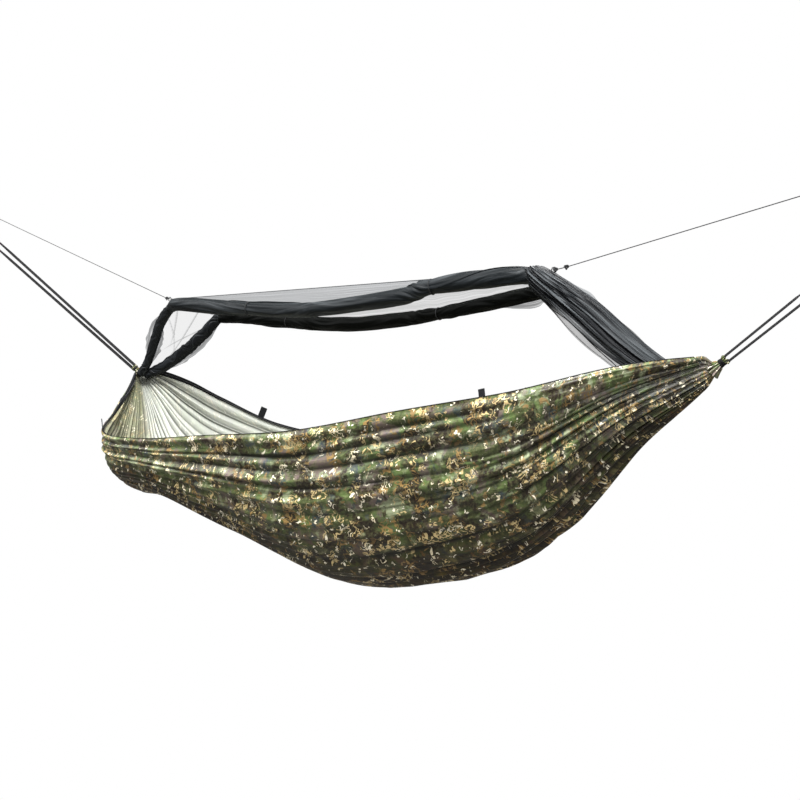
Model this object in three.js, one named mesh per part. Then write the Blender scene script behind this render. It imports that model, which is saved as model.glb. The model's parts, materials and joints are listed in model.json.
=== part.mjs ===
// A gathered-end camping hammock with a built-in insect net, hung between two anchor links with its net rolled up.
// Millimetres, +Z up, X along the hammock, -Y the front, where a person gets in. The row frame's origin is the middle
// of the line between the two anchor links, about which the whole hammock swings. Most pieces are placed in the bed's
// own frame, whose origin is midway between the two gathered ends.
import * as THREE from "three";

// Driving dimensions
const HALF_SPAN = 1080; // from the middle of the bed to each gathered end
const CLOTH = 1.2; // one layer of bed cloth, drawn thicker than the real thing so that it is a solid
const LAYER_GAP = 0.6;
const TAPE_WIDTH = 22;
const TAPE_THICKNESS = 1.2;
const TAPE_CLEARANCE = 3; // between the inner layer and a tape, whose facets don't quite follow each other
const TAB = { width: 25, height: 36, thickness: 3 };
const STRAP = { width: 12, thickness: 2 };
const RIDGE_HEIGHT = 264;
const RIDGE_LEFT = -891;
const RIDGE_RIGHT = 635;
const NET_CORD = 2.5; // diameter of the ridge cord and the two net lines
const ZIP_COIL = 2;
const GAP = 0.4; // clearance between pieces that touch

// Rails of the bed, station by station from the left gather to the right one: front edge, keel and back edge
const STATIONS = [
  { x: -1080, front: [-12, 6], keel: [0, -16], back: [12, 6] },
  { x: -1000, front: [-112, -64], keel: [-50, -146], back: [42, 2] },
  { x: -910, front: [-240, -142], keel: [-110, -325], back: [108, -39] },
  { x: -810, front: [-362, -206], keel: [-130, -417], back: [176, -102] },
  { x: -600, front: [-385, -218], keel: [-110, -447], back: [262, -198] },
  { x: -330, front: [-368, -200], keel: [-60, -551], back: [320, -228] },
  { x: 0, front: [-338, -176], keel: [-30, -656], back: [355, -147] },
  { x: 330, front: [-296, -116], keel: [0, -613], back: [350, -81] },
  { x: 600, front: [-240, -70], keel: [10, -508], back: [290, -61] },
  { x: 850, front: [-145, -20], keel: [10, -236], back: [172, -40] },
  { x: 1080, front: [-12, 6], keel: [0, -16], back: [12, 6] },
];
const WALL_BULGE = 0.07; // how far the side walls belly out beyond an ellipse, as a share of the half width

// Middle lines of the net's rolls and bundles in the bed frame, as [x, y, z, radius]
const FRONT_ROLL = [
  [-858, -34, 226, 17], [-780, -60, 236, 24], [-540, -85, 212, 26], [-200, -100, 186, 24],
  [-60, -100, 188, 24], [190, -85, 208, 26], [300, -75, 232, 25], [510, -58, 247, 27], [600, -46, 252, 24],
];
const BACK_ROLL = [
  [-748, 98, 202, 17], [-640, 105, 192, 22], [-340, 110, 162, 24], [-130, 110, 150, 24],
  [60, 110, 158, 24], [210, 105, 170, 21], [420, 90, 196, 23], [560, 72, 213, 22],
];
const LEFT_FRONT_TAIL = [
  [-868, -34, 219, 15], [-912, -32, 178, 18], [-958, -24, 110, 18], [-1004, -14, 40, 13], [-1034, -12, 12, 9],
];
const LEFT_BACK_TAIL = [
  [-768, 92, 188, 15], [-819, 72, 120, 18], [-900, 44, 54, 18], [-975, 24, 18, 12], [-1026, 12, 8, 7],
];
const RIGHT_BUNDLE = [
  [614, 12, 222, 44], [700, 10, 156, 42], [790, 12, 76, 42], [880, 14, 16, 32], [960, 8, -6, 18], [1028, 2, -2, 8],
];
const RIGHT_BUNDLE_FLATNESS = 0.8; // its height over its width

// Suspension, in each end's own frame, whose x axis runs from the gather along the strap
const LEFT_END = { side: "left", sign: -1, slope: 30.7, reach: 1134, spread: 14.8, start: 8 };
const RIGHT_END = { side: "right", sign: 1, slope: 39.1, reach: 295, spread: 9.5, start: 7.5 };
const END_RING = { radius: 21, wire: 4 };
const LINK = { bar: 5, length: 35, width: 24, thickness: 5 };
const LINK_CLEARANCE = 1.5;

// Net lines, from the ridge's ends to their own anchor rings
const LEFT_NET_END = [-2060, 0, 691];
const RIGHT_NET_END = [1320, 0, 402];
const NET_RING = { radius: 9, wire: 2.5 };

const MATERIALS = {
  camo_cloth: new THREE.MeshStandardMaterial({ color: 0x4a4a2c, roughness: 0.6 }),
  lining_cloth: new THREE.MeshStandardMaterial({ color: 0xb9b8a6, roughness: 0.65 }),
  webbing: new THREE.MeshStandardMaterial({ color: 0x202122, roughness: 0.8 }),
  net_mesh: new THREE.MeshStandardMaterial({ color: 0x24292b, roughness: 0.85 }),
  cord: new THREE.MeshStandardMaterial({ color: 0x1b1b1c, roughness: 0.7 }),
  steel: new THREE.MeshStandardMaterial({ color: 0x8d9093, roughness: 0.35, metalness: 1 }),
  dark_metal: new THREE.MeshStandardMaterial({ color: 0x2a2b2d, roughness: 0.45, metalness: 0.8 }),
  toggle_plastic: new THREE.MeshStandardMaterial({ color: 0x161717, roughness: 0.5 }),
};

const vec = (p) => new THREE.Vector3(p[0], p[1], p[2]);
const curve = (points) => new THREE.CatmullRomCurve3(points.map(vec), false, "catmullrom", 0.5);

function mesh(name, geometry, material) {
  const made = new THREE.Mesh(geometry, MATERIALS[material]);
  made.name = name;
  return made;
}

// A closed solid from a list of rings of points, each ring a closed loop, with a fan over each end.
function loft(rings) {
  const n = rings[0].length;
  const middle = (ring) => ring.reduce((sum, p) => sum.add(p), new THREE.Vector3()).divideScalar(n);
  const points = [...rings.flat(), middle(rings[0]), middle(rings.at(-1))];
  const index = [];
  for (let i = 0; i < rings.length - 1; i++) {
    for (let j = 0; j < n; j++) {
      const a = i * n + j;
      const b = i * n + ((j + 1) % n);
      index.push(a, b, a + n, b, b + n, a + n);
    }
  }
  const last = (rings.length - 1) * n;
  for (let j = 0; j < n; j++) {
    const k = (j + 1) % n;
    index.push(rings.length * n, k, j);
    index.push(rings.length * n + 1, last + j, last + k);
  }
  return solid(points, index);
}

// A closed solid between two grids of points that face each other, such as the two faces of a cloth.
function sheet(face, back) {
  const rows = face.length;
  const columns = face[0].length;
  const at = (side, i, j) => side * rows * columns + i * columns + j;
  const index = [];
  const quad = (a, b, c, d) => index.push(a, b, c, a, c, d);
  for (let i = 0; i < rows - 1; i++) {
    for (let j = 0; j < columns - 1; j++) {
      quad(at(0, i, j), at(0, i + 1, j), at(0, i + 1, j + 1), at(0, i, j + 1));
      quad(at(1, i, j), at(1, i, j + 1), at(1, i + 1, j + 1), at(1, i + 1, j));
    }
    quad(at(0, i, 0), at(1, i, 0), at(1, i + 1, 0), at(0, i + 1, 0));
    quad(at(0, i, columns - 1), at(0, i + 1, columns - 1), at(1, i + 1, columns - 1), at(1, i, columns - 1));
  }
  for (let j = 0; j < columns - 1; j++) {
    quad(at(0, 0, j), at(0, 0, j + 1), at(1, 0, j + 1), at(1, 0, j));
    quad(at(0, rows - 1, j), at(1, rows - 1, j), at(1, rows - 1, j + 1), at(0, rows - 1, j + 1));
  }
  return solid([...face.flat(), ...back.flat()], index);
}

// A geometry from points and triangles, turned so that its faces point out.
function solid(points, index) {
  let volume = 0;
  for (let i = 0; i < index.length; i += 3) {
    const [a, b, c] = [points[index[i]], points[index[i + 1]], points[index[i + 2]]];
    volume += a.dot(new THREE.Vector3().crossVectors(b, c));
  }
  const geometry = new THREE.BufferGeometry().setFromPoints(points);
  geometry.setIndex(volume > 0 ? index : index.reverse());
  geometry.computeVertexNormals();
  return geometry;
}

const range = (from, to, steps) => Array.from({ length: steps + 1 }, (_, i) => from + ((to - from) * i) / steps);
const grid = (us, vs, point) => us.map((u) => vs.map((v) => point(u, v)));

// The outer face of the bed: u from the left gather to the right one, v from the front edge over the keel to the back
const rail = (key) => curve(STATIONS.map((s) => [s.x, ...s[key]]));
const RAILS = { front: rail("front"), keel: rail("keel"), back: rail("back") };

function bedPoint(u, v) {
  const keel = RAILS.keel.getPoint(u);
  const edge = (v < 0 ? RAILS.front : RAILS.back).getPoint(u);
  const angle = (Math.abs(v) * Math.PI) / 2;
  return new THREE.Vector3(
    keel.x + (edge.x - keel.x) * Math.abs(v),
    keel.y + (edge.y - keel.y) * (Math.sin(angle) + WALL_BULGE * Math.sin(2 * angle)),
    keel.z + (edge.z - keel.z) * (1 - Math.cos(angle)),
  );
}

// The direction into the bed, square to its cloth.
function inward(u, v) {
  const step = 1e-3;
  const along = bedPoint(Math.min(u + step, 1), v).sub(bedPoint(Math.max(u - step, 0), v));
  const across = bedPoint(u, Math.min(v + step, 1)).sub(bedPoint(u, Math.max(v - step, -1)));
  return along.cross(across).normalize();
}

// A point on the bed, moved in from the outer face by a depth.
const bedInside = (u, v, depth) => bedPoint(u, v).addScaledVector(inward(u, v), depth);

// A point on an edge of the bed, down along the cloth from the edge and in from the outer face.
function edgePoint(u, side, down, depth) {
  const share = 0.03;
  const length = bedPoint(u, side * (1 - share)).distanceTo(bedPoint(u, side));
  return bedInside(u, side * (1 - (share * down) / length), depth);
}

const BED_STEPS = range(0, 1, 26);
const TAPE_STEPS = BED_STEPS.slice(2, -2);
const TAPE_DEPTH = 2 * CLOTH + LAYER_GAP + TAPE_CLEARANCE;

function bedLayer(name, depth, material) {
  const vs = range(-1, 1, 14);
  const face = grid(BED_STEPS, vs, (u, v) => bedInside(u, v, depth));
  const back = grid(BED_STEPS, vs, (u, v) => bedInside(u, v, depth + CLOTH));
  return mesh(name, sheet(face, back), material);
}

function edgeTape(name, side) {
  const face = grid(TAPE_STEPS, [0, TAPE_WIDTH], (u, w) => edgePoint(u, side, w, TAPE_DEPTH));
  const back = grid(TAPE_STEPS, [0, TAPE_WIDTH], (u, w) => edgePoint(u, side, w, TAPE_DEPTH + TAPE_THICKNESS));
  return mesh(name, sheet(face, back), "webbing");
}

// A round cord along a route, or with a radius at each point of the route.
function cord(name, route, diameter, steps, material = "cord") {
  const section = new THREE.Shape().absarc(0, 0, diameter / 2, 0, 2 * Math.PI);
  const options = { extrudePath: curve(route), steps, curveSegments: 4, bevelEnabled: false };
  return mesh(name, new THREE.ExtrudeGeometry(section, options), material);
}

function zipCoil(name, side) {
  const depth = TAPE_DEPTH + TAPE_THICKNESS + ZIP_COIL / 2 + 2.5;
  const route = TAPE_STEPS.map((u) => edgePoint(u, side, 3, depth).toArray());
  return cord(name, route, ZIP_COIL, 32, "toggle_plastic");
}

// A roll or bundle of net: rings across a route, each as wide as the route's radius there and flatness times as high.
function netBundle(name, route, steps, flatness = 1) {
  const path = curve(route);
  const radii = curve(route.map(([x, , , radius]) => [x, radius, 0]));
  const rings = range(0, 1, steps).map((t) => {
    const centre = path.getPoint(t);
    const radius = radii.getPoint(t).y;
    const across = new THREE.Vector3(0, 1, 0);
    const forward = path.getTangent(t);
    const up = new THREE.Vector3().crossVectors(forward, across).normalize();
    across.crossVectors(up, forward);
    return range(0, 11, 11).map((k) => {
      const angle = (k * Math.PI) / 6;
      return centre
        .clone()
        .addScaledVector(across, radius * Math.cos(angle))
        .addScaledVector(up, radius * flatness * Math.sin(angle));
    });
  });
  return mesh(name, loft(rings), "net_mesh");
}

// The thin panel of net between the ridge cord and a roll.
function topPanel(name, roll, side) {
  const path = curve(roll);
  const radii = curve(roll.map(([x, , , radius]) => [x, radius, 0]));
  const ends = (t) => {
    const centre = path.getPoint(t);
    const top = new THREE.Vector3(centre.x, side * (NET_CORD / 2 + CLOTH + GAP), RIDGE_HEIGHT);
    const away = top.clone().sub(centre);
    away.x = 0;
    const clear = radii.getPoint(t).y + 5.2;
    return [top, centre.clone().addScaledVector(away.normalize(), clear)];
  };
  const point = (t, v, lift) => {
    const [top, bottom] = ends(t);
    const square = bottom.clone().sub(top).cross(new THREE.Vector3(side, 0, 0)).normalize();
    return top.clone().lerp(bottom, v).addScaledVector(square, lift);
  };
  const ts = range(0.02, 0.97, 18);
  const face = grid(ts, [0, 1], (t, v) => point(t, v, 0));
  const back = grid(ts, [0, 1], (t, v) => point(t, v, CLOTH));
  return mesh(name, sheet(face, back), "net_mesh");
}

// The thin panel of net that closes the left end, between its two tails.
function leftEndPanel(name) {
  const front = curve(LEFT_FRONT_TAIL);
  const back = curve(LEFT_BACK_TAIL);
  const clearance = 21;
  const point = (t, v, lift) => {
    const a = front.getPoint(t);
    const b = back.getPoint(t);
    const across = b.clone().sub(a);
    const margin = clearance / across.length();
    const along = front.getTangent(t).add(back.getTangent(t));
    const square = along.cross(across).normalize();
    return a.lerp(b, margin + v * (1 - 2 * margin)).addScaledVector(square, lift);
  };
  const ts = range(0, 0.55, 6);
  const vs = range(0, 1, 4);
  return mesh(name, sheet(grid(ts, vs, (t, v) => point(t, v, 0)), grid(ts, vs, (t, v) => point(t, v, CLOTH))), "net_mesh");
}

// An elastic loop round a roll, with the toggle that closes it on the far side.
function rollTie(name, roll, t) {
  const path = curve(roll);
  const radius = curve(roll.map((p) => [p[0], p[3], 0])).getPoint(t).y + 2.4;
  const tie = new THREE.Group();
  tie.position.copy(path.getPoint(t));
  tie.quaternion.setFromUnitVectors(new THREE.Vector3(0, 0, 1), path.getTangent(t));
  tie.add(mesh(name, new THREE.TorusGeometry(radius, 1.5, 6, 16), "cord"));
  const toggle = mesh(name + "_toggle", new THREE.CapsuleGeometry(3.5, 18, 3, 10), "toggle_plastic");
  toggle.rotation.x = Math.PI / 2;
  toggle.position.set(0, -(radius + 5.5), 0);
  toggle.position.applyAxisAngle(new THREE.Vector3(0, 0, 1), farAngle(tie));
  tie.add(toggle);
  return tie;
}

// The turn about a group's z axis that brings its own -Y side round to the bed's far side.
function farAngle(group) {
  const far = new THREE.Vector3(0, 1, 0).applyQuaternion(group.quaternion.clone().invert());
  return Math.atan2(far.y, far.x) + Math.PI / 2;
}

// A flat webbing tab that stands on an edge of the bed, leaning by the given vector.
function standingTab(name, u, side, lean) {
  const edge = (side < 0 ? RAILS.front : RAILS.back).getPoint(u);
  const along = (side < 0 ? RAILS.front : RAILS.back).getTangent(u);
  const up = vec(lean).addScaledVector(along, -vec(lean).dot(along)).normalize();
  return tab(name, along, up, edge.addScaledVector(up, TAB.height / 2 + 1.5));
}

// The same tab folded down inside the bed.
function foldedTab(name, u, side) {
  const depth = TAPE_DEPTH + TAPE_THICKNESS + 10;
  const top = edgePoint(u, side, 4, depth);
  const along = (side < 0 ? RAILS.front : RAILS.back).getTangent(u);
  const up = top.clone().sub(edgePoint(u, side, 4 + TAB.height, depth)).normalize();
  return tab(name, along, up, top.addScaledVector(up, -TAB.height / 2));
}

function tab(name, along, up, centre) {
  const made = mesh(name, new THREE.BoxGeometry(TAB.width, TAB.thickness, TAB.height), "webbing");
  made.matrixAutoUpdate = false;
  made.matrix.makeBasis(along, new THREE.Vector3().crossVectors(up, along), up).setPosition(centre);
  return made;
}

// A zip slider on the inner side of an edge tape, with its pull hanging from it.
const SLIDER_AT = 0.905;
const SLIDER_TO = 0.86;
const PULL_DROP = 5.8; // from the slider's middle to its pull's hinge

function zipSlider(side, name) {
  const slider = new THREE.Group();
  const depth = TAPE_DEPTH + TAPE_THICKNESS + 9.5;
  const place = edgePoint(SLIDER_AT, side, 6, depth);
  const along = edgePoint(SLIDER_TO, side, 6, depth).sub(place).normalize();
  const up = new THREE.Vector3(0, 0, 1).addScaledVector(along, -along.z).normalize();
  slider.matrixAutoUpdate = false;
  slider.matrix.makeBasis(along, new THREE.Vector3().crossVectors(up, along), up).setPosition(place);
  const outline = new THREE.Shape([[-7, -4], [3, -4], [7, -1.5], [7, 1.5], [3, 4], [-7, 4]].map((p) => new THREE.Vector2(...p)));
  const body = new THREE.ExtrudeGeometry(outline, { depth: 5, bevelEnabled: false });
  body.rotateX(Math.PI / 2).translate(0, 2.5, 0);
  slider.add(mesh(name + "_slider", body, "dark_metal"));
  const pull = new THREE.BoxGeometry(6, 1.8, 30).translate(0, 0, -15);
  const hung = mesh(name + "_pull", pull, "dark_metal");
  hung.position.set(0, 0, -PULL_DROP);
  slider.add(hung);
  return slider;
}

// One end of the suspension: the gathered cloth, its hitch, two straps with sewn eyes, the end ring and the anchor link.
function suspensionEnd({ side, sign, slope, reach, spread, start }) {
  const end = new THREE.Group();
  end.position.set(sign * HALF_SPAN, 0, 0);
  end.rotation.y = sign > 0 ? -THREE.MathUtils.degToRad(slope) : Math.PI + THREE.MathUtils.degToRad(slope);
  end.add(gatheredCloth(side + "_gathered_cloth"), gatherHitch(side + "_gather_hitch"));
  const angle = Math.asin(spread / END_RING.radius);
  for (const [level, up] of [["upper", sign], ["lower", -sign]]) {
    const wire = [reach - END_RING.radius * Math.cos(angle), 0, up * spread];
    end.add(strapEye(side + "_" + level + "_strap_eye", wire, up * angle));
    const from = [BUNDLE_LENGTH + 1, 0, up * start];
    const to = [wire[0] - EYE_CLEARANCE, 0, up * spread];
    end.add(strap(side + "_" + level + "_strap", from, to));
  }
  const ring = mesh(side + "_end_ring", new THREE.TorusGeometry(END_RING.radius, END_RING.wire, 8, 20), "steel");
  ring.rotation.x = Math.PI / 2;
  ring.position.x = reach;
  end.add(ring, anchorLink(side + "_anchor_link", reach));
  return end;
}
const BUNDLE_LENGTH = 38;
const EYE_CLEARANCE = 8.8; // from the ring's wire to the strap's end, past the sewn eye

function gatheredCloth(name) {
  const profile = [[0, 5], [11, 5], [17, 10], [17, 28], [18, BUNDLE_LENGTH - 4], [14, BUNDLE_LENGTH], [0, BUNDLE_LENGTH]];
  return mesh(name, turned(profile, 16), "camo_cloth");
}

function gatherHitch(name) {
  return mesh(name, turned([[17 + GAP, 11], [20.5, 11], [20.5, 27], [17 + GAP, 27], [17 + GAP, 11]], 16), "webbing");
}

// A profile of [radius, distance along x] pairs turned about the x axis.
function turned(profile, segments) {
  const geometry = new THREE.LatheGeometry(profile.map(([r, x]) => new THREE.Vector2(r, x)), segments);
  return geometry.rotateZ(-Math.PI / 2);
}

// The sewn eye at a strap's end, a short tube of webbing round the ring's wire.
function strapEye(name, centre, angle) {
  const inner = END_RING.wire + 0.9;
  const outer = inner + STRAP.thickness;
  const profile = [[inner, -4.5], [outer, -4.5], [outer, 4.5], [inner, 4.5], [inner, -4.5]];
  const points = profile.map(([r, x]) => new THREE.Vector2(r, x));
  const eye = mesh(name, new THREE.LatheGeometry(points, 14).rotateX(Math.PI / 2), "webbing");
  eye.rotation.y = angle;
  eye.position.set(...centre);
  return eye;
}

function strap(name, from, to) {
  const [w, t] = [STRAP.width / 2, STRAP.thickness / 2];
  const corners = [[w, -t / 2], [w, t / 2], [w - 1, t], [1 - w, t], [-w, t / 2], [-w, -t / 2], [1 - w, -t], [w - 1, -t]];
  const section = new THREE.Shape(corners.map(([across, thick]) => new THREE.Vector2(across, thick)));
  const path = new THREE.LineCurve3(vec(from), vec(to));
  const steps = Math.max(8, Math.round(path.getLength() / (5 * STRAP.width)));
  return mesh(name, new THREE.ExtrudeGeometry(section, { extrudePath: path, steps, bevelEnabled: false }), "webbing");
}

function anchorLink(name, reach) {
  const outline = stadium(LINK.length, LINK.width);
  outline.holes.push(stadium(LINK.length - 2 * LINK.bar, LINK.width - 2 * LINK.bar));
  const plate = new THREE.ExtrudeGeometry(outline, { depth: LINK.thickness, curveSegments: 8, bevelEnabled: false });
  plate.translate(0, 0, -LINK.thickness / 2);
  const link = mesh(name, plate, "steel");
  const seat = reach + END_RING.radius - END_RING.wire - LINK_CLEARANCE;
  link.position.x = seat - LINK.bar + LINK.length / 2;
  return link;
}

function stadium(length, width) {
  const r = width / 2;
  const shape = new THREE.Shape();
  shape.absarc(length / 2 - r, 0, r, -Math.PI / 2, Math.PI / 2);
  shape.absarc(-(length / 2 - r), 0, r, Math.PI / 2, (3 * Math.PI) / 2);
  return shape;
}

// A net line from a knot at the ridge's end out to a knot at its own anchor ring.
function netLine(side, from, to) {
  const made = new THREE.Group();
  const start = vec(from);
  const end = vec(to);
  const along = end.clone().sub(start).normalize();
  const at = (p, distance) => p.clone().addScaledVector(along, distance);
  const route = range(0, 1, 14).map((t) => at(start, 8).lerp(at(end, -6.5), t).toArray());
  made.add(cord(side + "_net_line", route, NET_CORD, 16));
  made.add(ball(side + "_net_line_knot", start, 6));
  made.add(ball(side + "_net_anchor_knot", end, 5));
  const ring = mesh(side + "_net_anchor_ring", new THREE.TorusGeometry(NET_RING.radius, NET_RING.wire, 6, 14), "steel");
  ring.rotation.x = Math.PI / 2;
  ring.position.copy(at(end, 5 + GAP + NET_RING.radius + NET_RING.wire));
  made.add(ring);
  return made;
}

function ball(name, centre, radius) {
  const knot = mesh(name, new THREE.SphereGeometry(radius, 10, 7), "cord");
  knot.position.copy(centre);
  return knot;
}

// The loop of webbing at each end of the net's ridge, which its line is tied to.
function ridgeLoop(name, x, sign) {
  const loop = mesh(name, new THREE.TorusGeometry(7, 2, 6, 12), "webbing");
  loop.rotation.x = Math.PI / 2;
  loop.position.set(x + sign * (9 + GAP), 0, RIDGE_HEIGHT);
  return loop;
}

// Where an end ring bears on its anchor link, in the bed frame: one of the two points that the hammock swings about
function swingPoint({ sign, slope, reach }) {
  const angle = THREE.MathUtils.degToRad(slope);
  const length = reach + END_RING.radius;
  return new THREE.Vector3(sign * (HALF_SPAN + length * Math.cos(angle)), 0, length * Math.sin(angle));
}

const bed = new THREE.Group();
bed.position.copy(swingPoint(LEFT_END).lerp(swingPoint(RIGHT_END), 0.5).negate());
bed.add(bedLayer("bed_outer_layer", 0, "camo_cloth"), bedLayer("bed_inner_layer", CLOTH + LAYER_GAP, "lining_cloth"));

for (const [name, side] of [["front", -1], ["back", 1]]) {
  bed.add(edgeTape(name + "_edge_tape", side), zipCoil(name + "_zip_coil", side), zipSlider(side, name + "_zip"));
}
bed.add(standingTab("front_left_tab", 0.29, -1, [0.8, -0.6, 0.3]));
bed.add(foldedTab("front_middle_tab", 0.62, -1), foldedTab("front_right_tab", 0.83, -1));
bed.add(standingTab("back_left_tab", 0.37, 1, [0.4, 0.2, 1]));
bed.add(standingTab("back_middle_tab", 0.665, 1, [0.1, 0.1, 1]));
bed.add(standingTab("back_right_tab", 0.85, 1, [0.1, 0.1, 1]));

const RIDGE_ROUTE = range(RIDGE_LEFT, RIDGE_RIGHT, 14).map((x) => [x, 0, RIDGE_HEIGHT]);
bed.add(cord("ridge_cord", RIDGE_ROUTE, NET_CORD, 16));
bed.add(ridgeLoop("left_ridge_loop", RIDGE_LEFT, -1), ridgeLoop("right_ridge_loop", RIDGE_RIGHT, 1));
bed.add(netBundle("front_net_roll", FRONT_ROLL, 24), netBundle("back_net_roll", BACK_ROLL, 22));
bed.add(topPanel("front_net_top_panel", FRONT_ROLL, -1), topPanel("back_net_top_panel", BACK_ROLL, 1));
bed.add(netBundle("left_front_net_tail", LEFT_FRONT_TAIL, 10), netBundle("left_back_net_tail", LEFT_BACK_TAIL, 10));
bed.add(leftEndPanel("left_net_end_panel"));
bed.add(netBundle("right_net_end_bundle", RIGHT_BUNDLE, 16, RIGHT_BUNDLE_FLATNESS));
bed.add(cord("right_net_hem", [[600, 66, 168], [660, 62, 128], [745, 58, 50], [822, 52, -14]], NET_CORD, 14));

bed.add(rollTie("front_left_roll_tie", FRONT_ROLL, 0.3), rollTie("front_right_roll_tie", FRONT_ROLL, 0.75));
bed.add(rollTie("back_left_roll_tie", BACK_ROLL, 0.25), rollTie("back_right_roll_tie", BACK_ROLL, 0.714));

bed.add(suspensionEnd(LEFT_END), suspensionEnd(RIGHT_END));
bed.add(netLine("left", [RIDGE_LEFT - 26, 0, RIDGE_HEIGHT + 4], LEFT_NET_END));
bed.add(netLine("right", [RIDGE_RIGHT + 46, 0, RIDGE_HEIGHT + 5], RIGHT_NET_END));

const hammock = new THREE.Group();
hammock.add(bed);

export default hammock;
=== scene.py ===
"""The looks of a camping hammock: a pleated camouflage bed, its rolled insect net, and its suspension.

Lengths are in metres. Most places are in the bed's own frame, whose origin is midway between the two gathers,
and to_row() moves them into the row frame, where the CAD model stands.
"""
import json
import math

import bmesh
import bpy
import numpy as np
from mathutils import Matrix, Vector


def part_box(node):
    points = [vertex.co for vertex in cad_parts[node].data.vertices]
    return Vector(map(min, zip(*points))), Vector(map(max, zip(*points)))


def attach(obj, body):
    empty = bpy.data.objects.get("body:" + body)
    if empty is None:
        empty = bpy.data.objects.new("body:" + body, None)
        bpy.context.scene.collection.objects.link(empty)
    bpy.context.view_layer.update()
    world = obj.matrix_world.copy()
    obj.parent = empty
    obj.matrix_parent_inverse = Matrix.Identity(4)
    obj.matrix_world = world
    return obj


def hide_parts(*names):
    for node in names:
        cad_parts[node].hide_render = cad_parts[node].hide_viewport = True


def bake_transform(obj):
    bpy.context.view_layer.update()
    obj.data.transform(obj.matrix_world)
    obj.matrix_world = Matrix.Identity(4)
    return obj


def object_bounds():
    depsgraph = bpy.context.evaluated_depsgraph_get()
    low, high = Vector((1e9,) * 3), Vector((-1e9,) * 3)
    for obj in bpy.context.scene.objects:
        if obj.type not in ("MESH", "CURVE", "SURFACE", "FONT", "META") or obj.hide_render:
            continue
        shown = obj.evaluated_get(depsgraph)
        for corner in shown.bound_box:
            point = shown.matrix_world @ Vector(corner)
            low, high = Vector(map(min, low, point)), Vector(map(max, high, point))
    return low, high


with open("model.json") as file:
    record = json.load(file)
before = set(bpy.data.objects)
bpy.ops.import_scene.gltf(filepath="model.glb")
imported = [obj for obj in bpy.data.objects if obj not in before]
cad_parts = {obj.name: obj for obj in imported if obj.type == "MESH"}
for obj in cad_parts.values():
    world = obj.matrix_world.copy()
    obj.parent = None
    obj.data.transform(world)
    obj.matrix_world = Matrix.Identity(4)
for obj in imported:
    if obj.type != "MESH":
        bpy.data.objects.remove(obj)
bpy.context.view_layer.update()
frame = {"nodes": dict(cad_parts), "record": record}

# ---------------------------------------------------------------- driving dimensions
HALF_SPAN = 1.08  # from the middle of the bed to each gather
LAYER_GAP = 0.0026  # between the two layers of the bed
RIDGE_LEFT = -0.891
RIDGE_RIGHT = 0.635
RIDGE_HEIGHT = 0.264
LINE_DIAMETER = 0.0025
WALL_BULGE = 0.07
TAPE_WIDTH = 0.0125
SIDES = (("front", -1), ("back", 1))

# Rails of the bed at each station from the left gather to the right one: x, then y and z of the front edge,
# of the keel and of the back edge
STATIONS = np.array([
    [-1.080, -0.012, 0.006, 0.000, -0.016, 0.012, 0.006],
    [-1.000, -0.112, -0.064, -0.050, -0.146, 0.042, 0.002],
    [-0.910, -0.240, -0.142, -0.110, -0.325, 0.108, -0.039],
    [-0.810, -0.362, -0.206, -0.130, -0.417, 0.176, -0.102],
    [-0.600, -0.385, -0.218, -0.110, -0.447, 0.262, -0.198],
    [-0.330, -0.368, -0.200, -0.060, -0.551, 0.320, -0.228],
    [0.000, -0.338, -0.176, -0.030, -0.656, 0.355, -0.147],
    [0.330, -0.296, -0.116, 0.000, -0.613, 0.350, -0.081],
    [0.600, -0.240, -0.070, 0.010, -0.508, 0.290, -0.061],
    [0.850, -0.145, -0.020, 0.010, -0.236, 0.172, -0.040],
    [1.080, -0.012, 0.006, 0.000, -0.016, 0.012, 0.006],
])

# Middle lines of the net's rolls and bundles: x, y, z and radius
FRONT_ROLL = np.array([
    [-0.858, -0.034, 0.226, 0.017], [-0.780, -0.060, 0.236, 0.024], [-0.540, -0.085, 0.212, 0.026],
    [-0.200, -0.100, 0.186, 0.024], [-0.060, -0.100, 0.188, 0.024], [0.190, -0.085, 0.208, 0.026],
    [0.300, -0.075, 0.232, 0.025], [0.510, -0.058, 0.247, 0.027], [0.590, -0.042, 0.248, 0.024],
    [0.636, -0.020, 0.236, 0.018],
])
BACK_ROLL = np.array([
    [-0.768, 0.096, 0.194, 0.019], [-0.640, 0.105, 0.192, 0.022], [-0.340, 0.110, 0.162, 0.024],
    [-0.130, 0.110, 0.150, 0.024], [0.060, 0.110, 0.158, 0.024], [0.210, 0.105, 0.170, 0.021],
    [0.420, 0.090, 0.196, 0.023], [0.550, 0.074, 0.212, 0.022], [0.620, 0.050, 0.212, 0.018],
])
LEFT_FRONT_TAIL = np.array([
    [-0.856, -0.033, 0.232, 0.018], [-0.912, -0.032, 0.178, 0.018], [-0.958, -0.024, 0.110, 0.018],
    [-1.004, -0.016, 0.036, 0.016], [-1.046, -0.018, -0.014, 0.017],
])
LEFT_BACK_TAIL = np.array([
    [-0.735, 0.098, 0.204, 0.019], [-0.819, 0.072, 0.124, 0.022], [-0.900, 0.044, 0.058, 0.022],
    [-0.975, 0.022, 0.012, 0.020], [-1.040, -0.004, -0.016, 0.016],
])
RIGHT_HEM = np.array([
    [0.600, 0.066, 0.168], [0.660, 0.062, 0.128], [0.745, 0.058, 0.050], [0.822, 0.052, -0.014],
])
FRONT_TIES = (0.8 / 3, 2 / 3)  # where the ties sit along each roll, from 0 to 1
BACK_TIES = (0.21875, 0.62475)

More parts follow.
